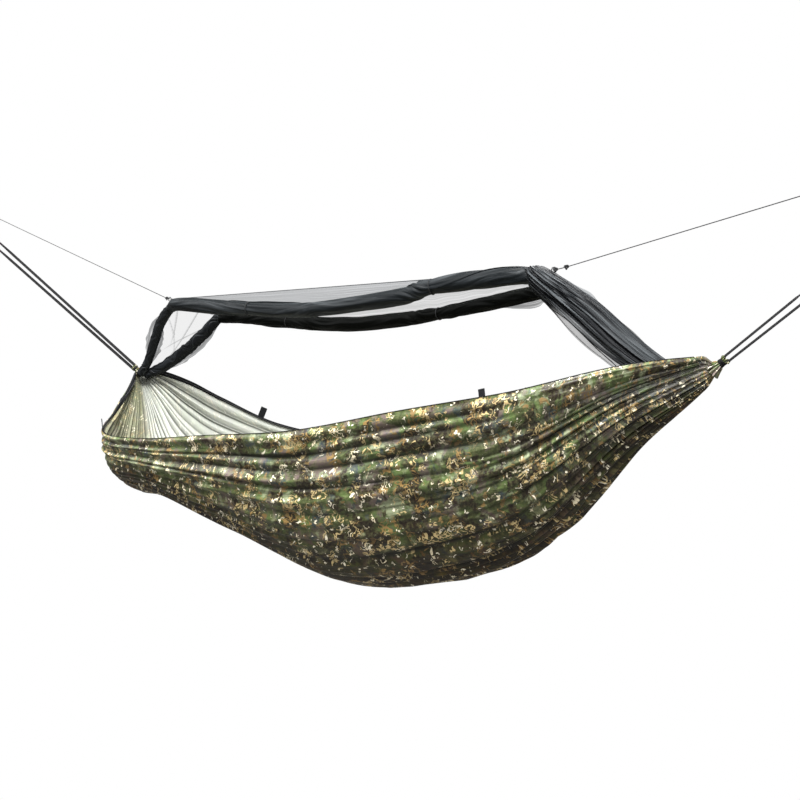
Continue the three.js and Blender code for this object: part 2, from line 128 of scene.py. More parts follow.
# The suspension: slope of the straps in degrees, distance from the gather to the ring's middle, and half the
# distance between the two straps at the ring and at the gather
LEFT_END = {"side": "left", "sign": -1, "slope": 30.7, "reach": 1.134, "spread": 0.0148, "start": 0.008}
RIGHT_END = {"side": "right", "sign": 1, "slope": 39.1, "reach": 0.295, "spread": 0.0095, "start": 0.0075}
RING_RADIUS = 0.021
RING_WIRE = 0.004
STRAP_WIDTH = 0.012
STRAP_LEAN = math.radians(36)  # how far the webbing is turned on edge, away from its ring
STRAP_THICKNESS = 0.002
STRAP_START = 0.018  # from the gather to where the straps come out of its hitch
EYE_CLEARANCE = 0.0088
LEFT_NET_END = np.array([-2.060, 0, 0.691])
RIGHT_NET_END = np.array([1.320, 0, 0.402])

# The bed's frame in the row frame, from the ridge cord's place
ridge_low, ridge_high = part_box("ridge_cord")
BED = np.array([ridge_low.x - RIDGE_LEFT, 0, (ridge_low.z + ridge_high.z) / 2 - RIDGE_HEIGHT])
Y_AXIS = np.array([0.0, 1.0, 0.0])
Z_AXIS = np.array([0.0, 0.0, 1.0])


def to_row(points):
    """Points in the bed's frame, moved into the row frame."""
    return np.asarray(points, float) + BED


# ---------------------------------------------------------------- curves and meshes
def catmull(points, t):
    """Points at t, from 0 to 1, on the uniform Catmull-Rom curve through the given points."""
    p = np.asarray(points, float)
    t = np.asarray(t, float)
    s = np.clip(t, 0, 1) * (len(p) - 1)
    i = np.minimum(s.astype(int), len(p) - 2)
    w = (s - i)[..., None]
    p = np.vstack([2 * p[0] - p[1], p, 2 * p[-1] - p[-2]])
    a, b, c, d = (p[i + k] for k in range(4))
    return 0.5 * (2 * b + (c - a) * w + (2 * a - 5 * b + 4 * c - d) * w**2 + (3 * b - a - 3 * c + d) * w**3)


def unit(v):
    return v / np.maximum(np.linalg.norm(v, axis=-1, keepdims=True), 1e-12)


def smoothstep(low, high, x):
    t = np.clip((x - low) / (high - low), 0, 1)
    return t * t * (3 - 2 * t)


def bell(x, width):
    return np.exp(-((x / width) ** 2))


def waves(seed, count, low, high):
    """A smooth random function of one variable, between about -1 and 1, as a sum of sines."""
    random = np.random.RandomState(seed)
    rates = random.uniform(low, high, count)
    phases = random.uniform(0, 2 * math.pi, count)
    return lambda x: sum(np.sin(r * x + p) for r, p in zip(rates, phases)) / math.sqrt(count)


def across_and_up(path):
    """Two unit vectors square to a path at each point: one nearly along +Y, and one nearly upright."""
    forward = unit(np.gradient(path, axis=0))
    up = unit(np.cross(forward, Y_AXIS))
    return unit(np.cross(up, forward)), up


def uv_grid(along, across):
    """A grid's texture places, from those of its rows and of its columns."""
    return np.stack(np.meshgrid(along, across, indexing="ij"), -1)


def running_length(path):
    """The length along a path, from its start to each of its points."""
    return np.concatenate([[0], np.cumsum(np.linalg.norm(np.diff(path, axis=0), axis=1))])


def grid_mesh(name, points, uv=None, closed=False, values=None):
    """A smooth-shaded mesh from rows of points. closed joins the last column to the first, and values holds a
    number for each point, by name."""
    rows, columns = points.shape[:2]
    last = columns if closed else columns - 1
    i, j = np.meshgrid(np.arange(rows - 1), np.arange(last), indexing="ij")
    k = (j + 1) % columns
    faces = np.stack([i * columns + j, i * columns + k, (i + 1) * columns + k, (i + 1) * columns + j], -1)
    faces = faces.reshape(-1, 4)
    made = bpy.data.meshes.new(name)
    made.vertices.add(rows * columns)
    made.vertices.foreach_set("co", points.reshape(-1).astype(np.float32))
    made.loops.add(faces.size)
    made.loops.foreach_set("vertex_index", faces.reshape(-1).astype(np.int32))
    made.polygons.add(len(faces))
    made.polygons.foreach_set("loop_start", np.arange(0, faces.size, 4, dtype=np.int32))
    made.update(calc_edges=True)
    if uv is None:
        uv = uv_grid(np.linspace(0, 1, rows), np.linspace(0, 1, columns))
    layer = made.uv_layers.new(name="cloth")
    layer.data.foreach_set("uv", uv.reshape(-1, 2)[faces.reshape(-1)].reshape(-1).astype(np.float32))
    for key, field in (values or {}).items():
        attribute = made.attributes.new(key, "FLOAT", "POINT")
        attribute.data.foreach_set("value", field.reshape(-1).astype(np.float32))
    made.shade_smooth()
    piece = bpy.data.objects.new(name, made)
    bpy.context.scene.collection.objects.link(piece)
    return piece


def sweep(name, path, section, across=None, up=None):
    """A capped tube along a path in the row frame, with a section of (across, up) pairs."""
    if across is None:
        across, up = across_and_up(path)
    ring = path[:, None] + section[None, :, :1] * across[:, None] + section[None, :, 1:] * up[:, None]
    tip = [np.repeat(path[k][None, None], ring.shape[1], 1) for k in (0, -1)]
    points = np.concatenate([tip[0], ring, tip[1]])
    length = running_length(path)
    uv = uv_grid(np.concatenate([[0], length, length[-1:]]), np.linspace(0, 1, ring.shape[1]))
    piece = grid_mesh(name, points, uv, closed=True)
    weld(piece)
    return piece


def weld(piece):
    """Joins the points of a mesh that lie on each other, such as those of a cap."""
    edit = bmesh.new()
    edit.from_mesh(piece.data)
    bmesh.ops.remove_doubles(edit, verts=edit.verts, dist=1e-6)
    bmesh.ops.recalc_face_normals(edit, faces=edit.faces)
    edit.to_mesh(piece.data)
    edit.free()
    piece.data.shade_smooth()


def circle(radius, count):
    angle = np.linspace(0, 2 * math.pi, count, endpoint=False)
    return radius * np.stack([np.cos(angle), np.sin(angle)], -1)


def add_to(body, piece, material, slot, *replaced):
    """Gives a piece its material and body, and hides the CAD nodes that it stands for. slot is not used."""
    piece.data.materials.append(material)
    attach(piece, body)
    if replaced:
        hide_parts(*replaced)
    return piece


# ---------------------------------------------------------------- materials
class Shader:
    """A material under construction. Its methods add nodes and return their output sockets."""

    def __init__(self, name, roughness, specular=0.5, metallic=0.0):
        self.material = bpy.data.materials.new(name)
        self.material.use_nodes = True
        self.tree = self.material.node_tree
        self.bsdf = self.tree.nodes["Principled BSDF"]
        self.bsdf.inputs["Roughness"].default_value = roughness
        self.bsdf.inputs["Specular IOR Level"].default_value = specular
        self.bsdf.inputs["Metallic"].default_value = metallic

    def add(self, kind, sockets=None, **settings):
        made = self.tree.nodes.new("ShaderNode" + kind)
        for key, value in settings.items():
            setattr(made, key, value)
        for key, value in (sockets or {}).items():
            if isinstance(value, bpy.types.NodeSocket):
                self.tree.links.new(value, made.inputs[key])
            else:
                made.inputs[key].default_value = value
        return made

    def uv(self, scale=(1, 1, 1), offset=(0, 0, 0)):
        source = self.add("UVMap", uv_map="cloth").outputs["UV"]
        return self.add("Mapping", {"Vector": source, "Scale": scale, "Location": offset}).outputs["Vector"]

    def place(self, scale=(1, 1, 1)):
        source = self.add("TexCoord").outputs["Object"]
        return self.add("Mapping", {"Vector": source, "Scale": scale}).outputs["Vector"]

    def value(self, name):
        return self.add("Attribute", attribute_name=name).outputs["Fac"]

    def noise(self, vector, scale, detail=2.0, rough=0.5, distortion=0.0):
        sockets = {"Vector": vector, "Scale": scale, "Detail": detail, "Roughness": rough}
        return self.add("TexNoise", {**sockets, "Distortion": distortion}).outputs["Fac"]

    def wave(self, vector, scale, distortion=0.0, direction="X"):
        sockets = {"Vector": vector, "Scale": scale, "Distortion": distortion}
        return self.add("TexWave", sockets, bands_direction=direction).outputs["Fac"]

    def math(self, operation, a, b=0.0):
        return self.add("Math", {0: a, 1: b}, operation=operation).outputs["Value"]

    def product(self, a, b):
        return self.math("MULTIPLY", a, b)

    def step(self, value, low, high):
        """0 below low and 1 above high, smooth between them; high may be the lower one."""
        sockets = {"Value": value, "From Min": low, "From Max": high}
        return self.add("MapRange", sockets, interpolation_type="SMOOTHSTEP").outputs["Result"]

    def mix(self, factor, a, b, blend="MIX"):
        made = self.add("Mix", data_type="RGBA", blend_type=blend)
        for socket, value in ((made.inputs[0], factor), (made.inputs[6], a), (made.inputs[7], b)):
            if isinstance(value, bpy.types.NodeSocket):
                self.tree.links.new(value, socket)
            else:
                socket.default_value = (*value, 1.0) if isinstance(value, tuple) else value
        return made.outputs[2]

    def bump(self, height, strength, distance):
        sockets = {"Height": height, "Strength": strength, "Distance": distance}
        return self.add("Bump", sockets).outputs["Normal"]

    def set(self, name, value):
        self.tree.links.new(value, self.bsdf.inputs[name])

    def finish(self, colour, normal):
        """Sets the colour and the normal, and returns the material."""
        self.set("Base Color", colour)
        self.set("Normal", normal)
        return self.material


def srgb(red, green, blue):
    """Linear colour from 8-bit sRGB."""
    def linear(c):
        c /= 255
        return c / 12.92 if c <= 0.04045 else ((c + 0.055) / 1.055) ** 2.4
    return linear(red), linear(green), linear(blue)


def camouflage(shader, under=None):
    """The colour of the printed cloth: soft mottled patches under clusters of small light flecks. Painted
    shade makes the patches, but not the flecks, darker and warmer where under is 1."""
    colour = srgb(58, 66, 36)
    patches = [  # colour, scale of its noise, from where to where in the noise it fades in, and its place
        (srgb(86, 106, 58), 13, 0.47, 0.60, (3, 1, 0)),
        (srgb(102, 88, 84), 12, 0.50, 0.60, (5, 3, 0)),
        (srgb(146, 156, 124), 17, 0.53, 0.66, (1, 9, 0)),
        (srgb(56, 66, 70), 18, 0.54, 0.64, (8, 2, 0)),
        (srgb(36, 26, 18), 14, 0.49, 0.57, (9, 7, 0)),
        (srgb(124, 100, 62), 30, 0.61, 0.625, (2, 4, 0)),
    ]
    for rgb, scale, low, high, offset in patches:
        field = shader.noise(shader.uv(offset=offset), scale, 5.0, 0.66, 0.4)
        colour = shader.mix(shader.step(field, low, high), colour, rgb)
    mottle = shader.step(shader.noise(shader.uv(offset=(2, 6, 0)), 95, 3.0, 0.7), 0.40, 0.72)
    colour = shader.mix(shader.product(mottle, 0.45), colour, srgb(120, 122, 84))
    if under:
        # painted shade: the patches darkened and warmed where under is 1, on cloth that faces the ground
        colour = shader.mix(under, colour, srgb(138, 108, 46), "MULTIPLY")
    flecks = [  # colour, scale and rarity of the clusters, scale and width of the strokes, and their place
        (srgb(134, 108, 64), 13, 0.54, 46, 0.058, (2, 4, 0)),
        (srgb(196, 174, 124), 12, 0.54, 50, 0.054, (6, 8, 0)),
        (srgb(226, 214, 182), 22, 0.60, 52, 0.050, (4, 2, 0)),
        (srgb(232, 224, 200), 42, 0.60, 50, 0.058, (7, 9, 0)),
    ]
    for rgb, cluster_scale, rarity, scale, width, offset in flecks:
        moved = shader.uv(offset=offset)
        cluster = shader.step(shader.noise(moved, cluster_scale, 1.0), rarity, rarity + 0.03)
        level = shader.noise(moved, scale, 1.0, 0.6, 1.0)
        line = shader.math("ABSOLUTE", shader.math("SUBTRACT", level, 0.5))
        stroke = shader.step(line, width, width * 0.5)
        broken = shader.step(shader.noise(shader.uv(offset=offset[::-1]), scale * 0.8, 0.0), 0.45, 0.49)
        mask = shader.product(shader.product(cluster, stroke), broken)
        colour = shader.mix(mask, colour, rgb)
    return colour


def camo_material():
    """The bed's outer face, with painted shade: darker in its creases and where the cloth faces the ground.
    """
    shader = Shader("camo_cloth", 0.42, 0.30)
    colour = camouflage(shader, shader.value("under"))
    # painted shade: the cloth turns near black along its creases
    shade = shader.product(shader.value("crease"), 0.93)
    wrinkles = shader.noise(shader.uv(scale=(4, 30, 1)), 1.6, 4.0, 0.6, 0.4)
    return shader.finish(shader.mix(shade, colour, (0.002, 0.002, 0.001)), shader.bump(wrinkles, 0.45, 0.010))


def gathered_material():
    """The outer cloth where it's bunched up: the same print, with painted shade as a dark line between its
    pleats.
    """
    shader = Shader("gathered_camo_cloth", 0.5, 0.3)
    # painted shade: near black between the pleats
    shade = shader.product(shader.value("crease"), 0.9)
    shader.set("Base Color", shader.mix(shade, camouflage(shader), (0.004, 0.004, 0.002)))
    return shader.material


def lining_material():
    """The bed's inner face: the paler back of the print, lightened as painted light through the cloth, with
    painted shade: an olive copy where it's in shade, darkest in its creases.
    """
    shader = Shader("lining_cloth", 0.6, 0.25)
    print_through = camouflage(shader)
    # pale: the paler back of the print, lightened further as painted light shining through the thin cloth
    pale = shader.mix(0.72, print_through, srgb(205, 208, 200))
    # olive: a darker copy of the same cloth, for painted shade
    olive = shader.mix(0.58, print_through, srgb(134, 134, 110))
    colour = shader.mix(shader.value("shaded"), pale, olive)
    # painted shade: near black along the creases
    shade = shader.product(shader.value("crease"), 0.92)
    wrinkles = shader.noise(shader.uv(scale=(4, 40, 1)), 1.6, 2.0)
    return shader.finish(shader.mix(shade, colour, (0.012, 0.014, 0.008)), shader.bump(wrinkles, 0.35, 0.008))


def lighter(rgb, gain, lift):
    return tuple(c * gain + lift for c in rgb)


def woven(name, rgb, pitch):
    """Flat webbing: ribs across its length and a fine weave, with fibres a little lighter than the rest."""
    shader = Shader(name, 0.75, 0.12)
    at = shader.uv()
    ribs = shader.wave(at, 1 / pitch / math.pi / 2, 0.3)
    fibres = shader.step(shader.noise(at, 700, 2.0), 0.35, 0.75)
    colour = shader.mix(shader.product(ribs, fibres), rgb, lighter(rgb, 2.0, 0.004))
    return shader.finish(colour, shader.bump(ribs, 0.5, 0.0006))


def braided(name, rgb):
    """Round cord: strands that cross on its face."""
    shader = Shader(name, 0.7, 0.3)
    strands = shader.wave(shader.place(), 160, 1.0, "DIAGONAL")
    colour = shader.mix(strands, rgb, lighter(rgb, 2.5, 0.006))
    return shader.finish(colour, shader.bump(strands, 0.6, 0.0004))


def plastic(name, rgb):
    """Moulded plastic with a fine even grain."""
    shader = Shader(name, 0.45)
    grain = shader.noise(shader.place(), 900, 2.0)
    return shader.finish(shader.mix(grain, rgb, lighter(rgb, 1.6, 0.004)), shader.bump(grain, 0.15, 0.0003))


def coil_material():
    """The zip's coil: a tooth every 1.8 mm."""
    shader = Shader("zip_coil", 0.45)
    teeth = shader.wave(shader.uv(), 1 / 0.0018 / math.pi / 2)
    colour = shader.mix(teeth, srgb(18, 18, 19), srgb(62, 62, 64))
    return shader.finish(colour, shader.bump(teeth, 0.8, 0.0006))


def metal(name, rgb, roughness, metallic=1.0):
    """Metal with fine brushed lines along its z."""
    shader = Shader(name, roughness, metallic=metallic)
    brushed = shader.noise(shader.place((1, 1, 14)), 260, 3.0)
    return shader.finish(shader.mix(brushed, lighter(rgb, 0.75, 0), rgb), shader.bump(brushed, 0.12, 0.0002))


def net_material(name, clear, dark, fold_rgb, rgb, streak, specular=0.15):
    """Fine mesh. It lets light through where it's thin, and gets darker and closer in streaks along its
    folds. clear and dark are how solid it is between the folds and in them, fold_rgb and rgb its colours in
    them and between them. The points' own "thin" values clear it further."""
    shader = Shader("net_" + name, 0.55, specular)
    streaks = shader.noise(shader.uv(scale=(*streak, 1)), 1.0, 4.0, 0.6, 0.3)
    fold = shader.step(streaks, 0.33, 0.52)
    if clear < 1:
        sockets = {"Value": fold, "To Min": clear, "To Max": dark}
        solid = shader.add("MapRange", sockets).outputs["Result"]
        thinned = shader.math("SUBTRACT", 1.0, shader.product(shader.value("thin"), 0.72))
        shader.set("Alpha", shader.product(solid, thinned))
    return shader.finish(shader.mix(fold, rgb, fold_rgb), shader.bump(streaks, 0.7, 0.006))


def floor_material():
    """A pale floor, which the camera sees as plain white."""
    shader = Shader("studio_floor", 0.9, 0.1)
    mottle = shader.noise(shader.place(), 1.5, 2.0)
    shader.set("Base Color", shader.mix(mottle, (0.17, 0.165, 0.155), (0.20, 0.195, 0.185)))
    glow = shader.add("Emission", {"Color": (1, 1, 1, 1), "Strength": 1.0})
    seen = shader.add("LightPath").outputs["Is Camera Ray"]
    both = shader.add("MixShader", {0: seen, 1: shader.bsdf.outputs[0], 2: glow.outputs[0]})
    shader.tree.links.new(both.outputs[0], shader.tree.nodes["Material Output"].inputs["Surface"])
    return shader.material


CAMO = camo_material()
GATHERED_CAMO = gathered_material()
LINING = lining_material()
EDGE_WEBBING = woven("edge_webbing", srgb(20, 21, 23), 0.0022)
STRAP_WEBBING = woven("strap_webbing", srgb(13, 13, 14), 0.0026)
CORD = braided("cord", srgb(14, 15, 16))
PLASTIC = plastic("toggle_plastic", srgb(24, 25, 26))
ZIP_COIL = coil_material()
ZIP_METAL = metal("zip_metal", srgb(52, 52, 55), 0.42, 0.7)
STEEL = metal("steel", srgb(176, 178, 180), 0.32)
NET_LOOKS = {
    "single": (0.24, 0.38, (0.05, 0.055, 0.06), (0.09, 0.10, 0.11), (2, 20)),
    "end": (0.42, 0.50, (0.05, 0.055, 0.06), (0.09, 0.095, 0.10), (3, 12)),
    "flap": (0.28, 0.72, (0.03, 0.034, 0.037), (0.08, 0.09, 0.10), (3, 90)),
    "loose": (0.66, 1.0, (0.0015, 0.002, 0.003), (0.085, 0.094, 0.100), (3, 110)),
    "tail": (1.0, 1.0, (0.005, 0.006, 0.007), (0.022, 0.025, 0.028), (3, 45)),
    "front_roll": (1.0, 1.0, (0.003, 0.0045, 0.0055), (0.030, 0.034, 0.037), (5, 40)),
    # back_roll: the rolled net made much darker, partly for its closer folds and partly as painted shade
    "back_roll": (1.0, 1.0, (0.001, 0.0013, 0.001), (0.003, 0.0034, 0.003), (4, 26), 0.05),
}
NET = {name: net_material(name, *look) for name, look in NET_LOOKS.items()}


# ---------------------------------------------------------------- camera, light and floor
def make_camera():
    """A view from the front and the right, level with the bed."""
    place = to_row([1.7042, -2.2394, -0.0337])
    yaw, pitch = math.radians(35.0), math.radians(-1.28)
    lens = bpy.data.cameras.new("camera")
    lens.lens = 40.5
    camera = bpy.data.objects.new("camera", lens)
    camera.location = place
    camera.rotation_euler = (math.pi / 2 + pitch, 0, yaw)
    bpy.context.scene.collection.objects.link(camera)
    bpy.context.scene.camera = camera


def area_light(name, place, target, size, power):
    lamp = bpy.data.lights.new(name, "AREA")
    lamp.shape = "DISK"
    lamp.size = size
    lamp.energy = power
    held = bpy.data.objects.new(name, lamp)
    held.location = place
    held.rotation_euler = (Vector(target) - Vector(place)).to_track_quat("-Z", "Y").to_euler()
    bpy.context.scene.collection.objects.link(held)


AMBIENT = 0.36  # the white surroundings as they light the object, where the camera sees them as 1


def make_studio():
    world = bpy.data.worlds.new("studio")
    world.use_nodes = True
    tree = world.node_tree
    seen = tree.nodes.new("ShaderNodeLightPath").outputs["Is Camera Ray"]
    strength = tree.nodes.new("ShaderNodeMapRange")
    strength.inputs["To Min"].default_value = AMBIENT
    strength.inputs["To Max"].default_value = 1.0
    tree.links.new(seen, strength.inputs["Value"])
    tree.links.new(strength.outputs["Result"], tree.nodes["Background"].inputs["Strength"])
    tree.nodes["Background"].inputs["Color"].default_value = (1, 1, 1, 1)
    bpy.context.scene.world = world
    bpy.context.scene.view_settings.view_transform = "Standard"
    area_light("key", (1.3, -2.1, 3.8), (0.2, 0, -0.5), 2.0, 760)
    area_light("fill", (-2.6, -1.8, 2.2), (0.0, 0, -0.6), 2.4, 130)
    area_light("side", (2.6, -2.2, 0.9), (0.7, 0, -0.5), 1.4, 70)
    area_light("rim", (0.0, 3.2, 2.8), (0.2, 0, -0.5), 2.6, 120)
    floor_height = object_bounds()[0].z - 0.6
    ring = np.linspace(0, 2 * math.pi, 65)
    radius = np.array([0.01, 4.0, 9.0, 16.0])
    points = np.stack([np.outer(radius, np.cos(ring)), np.outer(radius, np.sin(ring)),
                       np.full((4, 65), floor_height)], -1)
    floor = grid_mesh("studio_floor", points)
    floor.data.materials.append(floor_material())


# ---------------------------------------------------------------- suspension
def end_frame(end):
    """An end's own frame in the row frame: its origin at the gather, x along the strap and z square to it."""
    angle = math.radians(end["slope"])
    x = np.array([end["sign"] * math.cos(angle), 0, math.sin(angle)])
    z = np.array([-end["sign"] * math.sin(angle), 0, math.cos(angle)])
    origin = to_row([end["sign"] * HALF_SPAN, 0, 0])
    return origin, x, z


def strap_section():
    """The strap's section: flat webbing with rounded selvedges."""
    half, thick = STRAP_WIDTH / 2, STRAP_THICKNESS / 2
    arc = np.linspace(-math.pi / 2, math.pi / 2, 5)
    right = np.stack([half - thick + thick * np.cos(arc), thick * np.sin(arc)], -1)
    middle = np.array([[0.0, thick]])
    return np.vstack([right, middle, -right, -middle])


def make_strap(end, level):
    side = end["side"]
    node = f"{side}_{level}_strap"
    up = 1 if level == "upper" else -1
    origin, x, z = end_frame(end)
    wire = end["reach"] - RING_RADIUS * math.cos(math.asin(end["spread"] / RING_RADIUS))
    start = origin + x * STRAP_START + z * up * end["start"]
    stop = origin + x * (wire - EYE_CLEARANCE) + z * up * end["spread"]
    steps = 60 if end["reach"] > 0.5 else 24
    t = np.linspace(0, 1, steps)[:, None]
    path = start * (1 - t) + stop * t
    square = np.cross(unit(stop - start), Y_AXIS)
    lean = STRAP_LEAN * end["sign"] * smoothstep(1.0, 0.85, t)
    across = np.cos(lean) * Y_AXIS + np.sin(lean) * square
    strap = sweep(node + "_webbing", path, strap_section(), across, np.cross(unit(stop - start), across))
    add_to("hammock", strap, STRAP_WEBBING, "strap_webbing", node)
    eye = make_eye(end, level, wire)


def make_eye(end, level, wire):
    """The strap's end, turned round the ring and sewn back on itself."""
    up = 1 if level == "upper" else -1
    origin, x, z = end_frame(end)
    centre = origin + x * wire + z * up * end["spread"]
    radius = RING_WIRE + 0.0012
    angle = np.linspace(-0.72 * math.pi, 0.72 * math.pi, 25)
    loop = np.stack([radius * np.cos(angle), radius * np.sin(angle)], -1)
    tail = np.array([[-EYE_CLEARANCE - 0.004, -0.0011], [-EYE_CLEARANCE + 0.001, -0.0012]])
    outline = np.vstack([tail, loop, tail[::-1] * [1, -1]])
    fine = catmull(outline, np.linspace(0, 1, 70))
    path = centre + fine[:, :1] * x + fine[:, 1:] * z * up
    across = np.repeat(Y_AXIS[None], len(path), 0)
    forward = unit(np.gradient(path, axis=0))
    section = strap_section() * [0.9, 0.55]
    eye = sweep(f"{end['side']}_{level}_strap_turn", path, section, across, np.cross(forward, across))
    add_to("hammock", eye, STRAP_WEBBING, "strap_webbing", f"{end['side']}_{level}_strap_eye")
    return eye


def make_net_line(side, loop, knot, end):
    """A net line, from the ridge loop through its knot to its anchor."""
    stop = end - unit(end - knot) * 0.0065
    lead = np.linspace(0, 1, 8)[:-1, None]
    t = np.linspace(0, 1, 48)[:, None]
    path = to_row(np.vstack([loop * (1 - lead) + knot * lead, knot * (1 - t) + stop * t]))
    line = sweep(f"{side}_net_guy_line", path, circle(LINE_DIAMETER / 2, 10))
    line.data.materials.append(CORD)
    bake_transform(line)
    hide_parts(f"{side}_net_line")


def make_ridge_cord():
    t = np.linspace(0, 1, 60)
    path = to_row(np.stack([RIDGE_LEFT + (RIDGE_RIGHT - RIDGE_LEFT) * t, 0 * t, 0 * t + RIDGE_HEIGHT], -1))
    ridge = sweep("ridge_line", path, circle(LINE_DIAMETER / 2, 10))
    add_to("hammock", ridge, CORD, "cord", "ridge_cord")


# ---------------------------------------------------------------- bed
def smooth_bed(u, v):
    """The bed's outer face without pleats, in the bed's frame: u from the left gather to the right one, v
    from the front edge (-1) over the keel to the back edge (1)."""
    u, v = np.broadcast_arrays(u, v)
    keel = catmull(STATIONS[:, [0, 3, 4]], u)
    front = catmull(STATIONS[:, [0, 1, 2]], u)
    back = catmull(STATIONS[:, [0, 5, 6]], u)
    edge = np.where((v < 0)[..., None], front, back)
    angle = np.abs(v) * math.pi / 2
    wide = np.sin(angle) + WALL_BULGE * np.sin(2 * angle)
    share = np.stack([np.abs(v), wide, 1 - np.cos(angle)], -1)
    return keel + (edge - keel) * share


def inward(u, v):
    """The direction into the bed, square to its smooth face."""
    step = 1e-3
    along = smooth_bed(np.minimum(u + step, 1), v) - smooth_bed(np.maximum(u - step, 0), v)
    across = smooth_bed(u, np.minimum(v + step, 1)) - smooth_bed(u, np.maximum(v - step, -1))
    return unit(np.cross(along, across))


BED_ROWS = 320
BED_COLUMNS = 460
GRID_U = np.linspace(0, 1, BED_ROWS)[:, None]
GRID_V = np.linspace(-1, 1, BED_COLUMNS)[None, :]
NECK_DROP = 0.016  # how far the cloth under the right gather sags
HOOD_HEIGHT = 0.021  # how far the front edge stands up where it's drawn over the right gather
SMOOTH = smooth_bed(GRID_U, GRID_V)
HOOD = smoothstep(0.80, 0.965, GRID_U) * smoothstep(1.0, 0.988, GRID_U)
SMOOTH[..., 2] += HOOD_HEIGHT * HOOD * smoothstep(-0.35, -0.9, GRID_V)
NECK = smoothstep(0.90, 0.975, GRID_U) * smoothstep(1.0, 0.988, GRID_U)
SAG = NECK_DROP * NECK + 0.018 * bell(GRID_U - 0.865, 0.055) + 0.010 * bell(GRID_U - 0.68, 0.07)
SMOOTH[..., 2] -= SAG * smoothstep(0.9, 0.3, np.abs(GRID_V))
GIRTH = np.linalg.norm(np.diff(SMOOTH, axis=1), axis=2).sum(1)[:, None]


def fold_family(sign, folds, depth, width, line, seed, sharp=0.4):
    """Creases that radiate from one gather: how strong a crease is at each point of the grid, from 0 to 1,
    and how deep the cloth lies there, in metres. A crease is narrow, with a rounded ridge of cloth on each
    side, and sharp is how pointed it is. Each fold is its place across the bed, its reach from the gather
    and its force."""
    random = np.random.RandomState(seed)
    distance = HALF_SPAN - sign * SMOOTH[:, BED_COLUMNS // 2, 0][:, None]
    crease = np.zeros(SMOOTH.shape[:2])
    sunk = np.zeros(SMOOTH.shape[:2])
    spacing = GIRTH / len(folds)
    wide = np.minimum(0.36 * spacing, width)
    for middle, reach, force in folds:
        drift = random.uniform(-0.014, 0.014) * distance**2
        drift = drift + 0.004 * np.sin(random.uniform(2, 5) * distance + reach * 9)
        offset = (GRID_V - middle - drift) * GIRTH / 2
        narrow = np.minimum(0.17 * spacing, line * (0.4 + force))
        fade = smoothstep(0.0, 0.03, distance) * (1 - smoothstep(0.45 * reach, reach, distance))
        strength = force * fade * (0.82 + 0.18 * np.sin(random.uniform(4, 11) * distance + reach))
        line_shape = np.exp(-np.abs(offset) / narrow)
        shape = sharp * line_shape + (1 - sharp) * np.exp(-np.abs(offset / wide) ** 1.5)
        sunk = np.maximum(sunk, strength * shape * np.minimum(0.9 * spacing, depth))
        crease = np.maximum(crease, strength * line_shape)
    return np.minimum(1.4 * crease, 1), sunk


def spread_out(count, seed, reach, stray=0.3, force=(0.45, 1.0)):
    """A fan of folds, spread from edge to edge. stray is how far each is from its even place, in folds."""
    random = np.random.RandomState(seed)
    middles = -1 + 2 * (np.arange(count) + 0.5 + random.uniform(-stray, stray, count)) / count
    return list(zip(middles, random.uniform(*reach, count), random.uniform(*force, count)))


# Long folds from the right gather: most lie in the band under the front edge, and two run down to the keel
LONG_FOLDS = (
    (-0.915, 2.05, 1.0), (-0.885, 1.25, 0.5), (-0.845, 2.10, 0.9), (-0.80, 1.60, 0.35), (-0.755, 2.05, 0.75),
    (-0.70, 1.30, 0.3), (-0.65, 1.80, 0.6), (-0.59, 1.30, 0.35), (-0.52, 1.70, 0.45), (-0.45, 1.60, 1.0),
    (-0.36, 0.95, 0.5), (-0.27, 1.45, 1.0), (-0.14, 0.90, 0.5), (0.20, 1.20, 0.5), (0.45, 1.50, 0.7),
    (0.66, 1.80, 0.8), (0.82, 1.90, 0.8), (0.92, 1.90, 0.9),
)
FAN_FOLDS = spread_out(34, 11, (0.5, 1.2), 0.6, (0.65, 1.0))
SMALL_FOLDS = spread_out(48, 17, (0.35, 0.95), 0.5)
LEFT_FOLDS = spread_out(38, 5, (1.1, 2.0), 0.45, (0.7, 1.0))
CORNER_FOLDS = spread_out(22, 6, (0.28, 0.62))


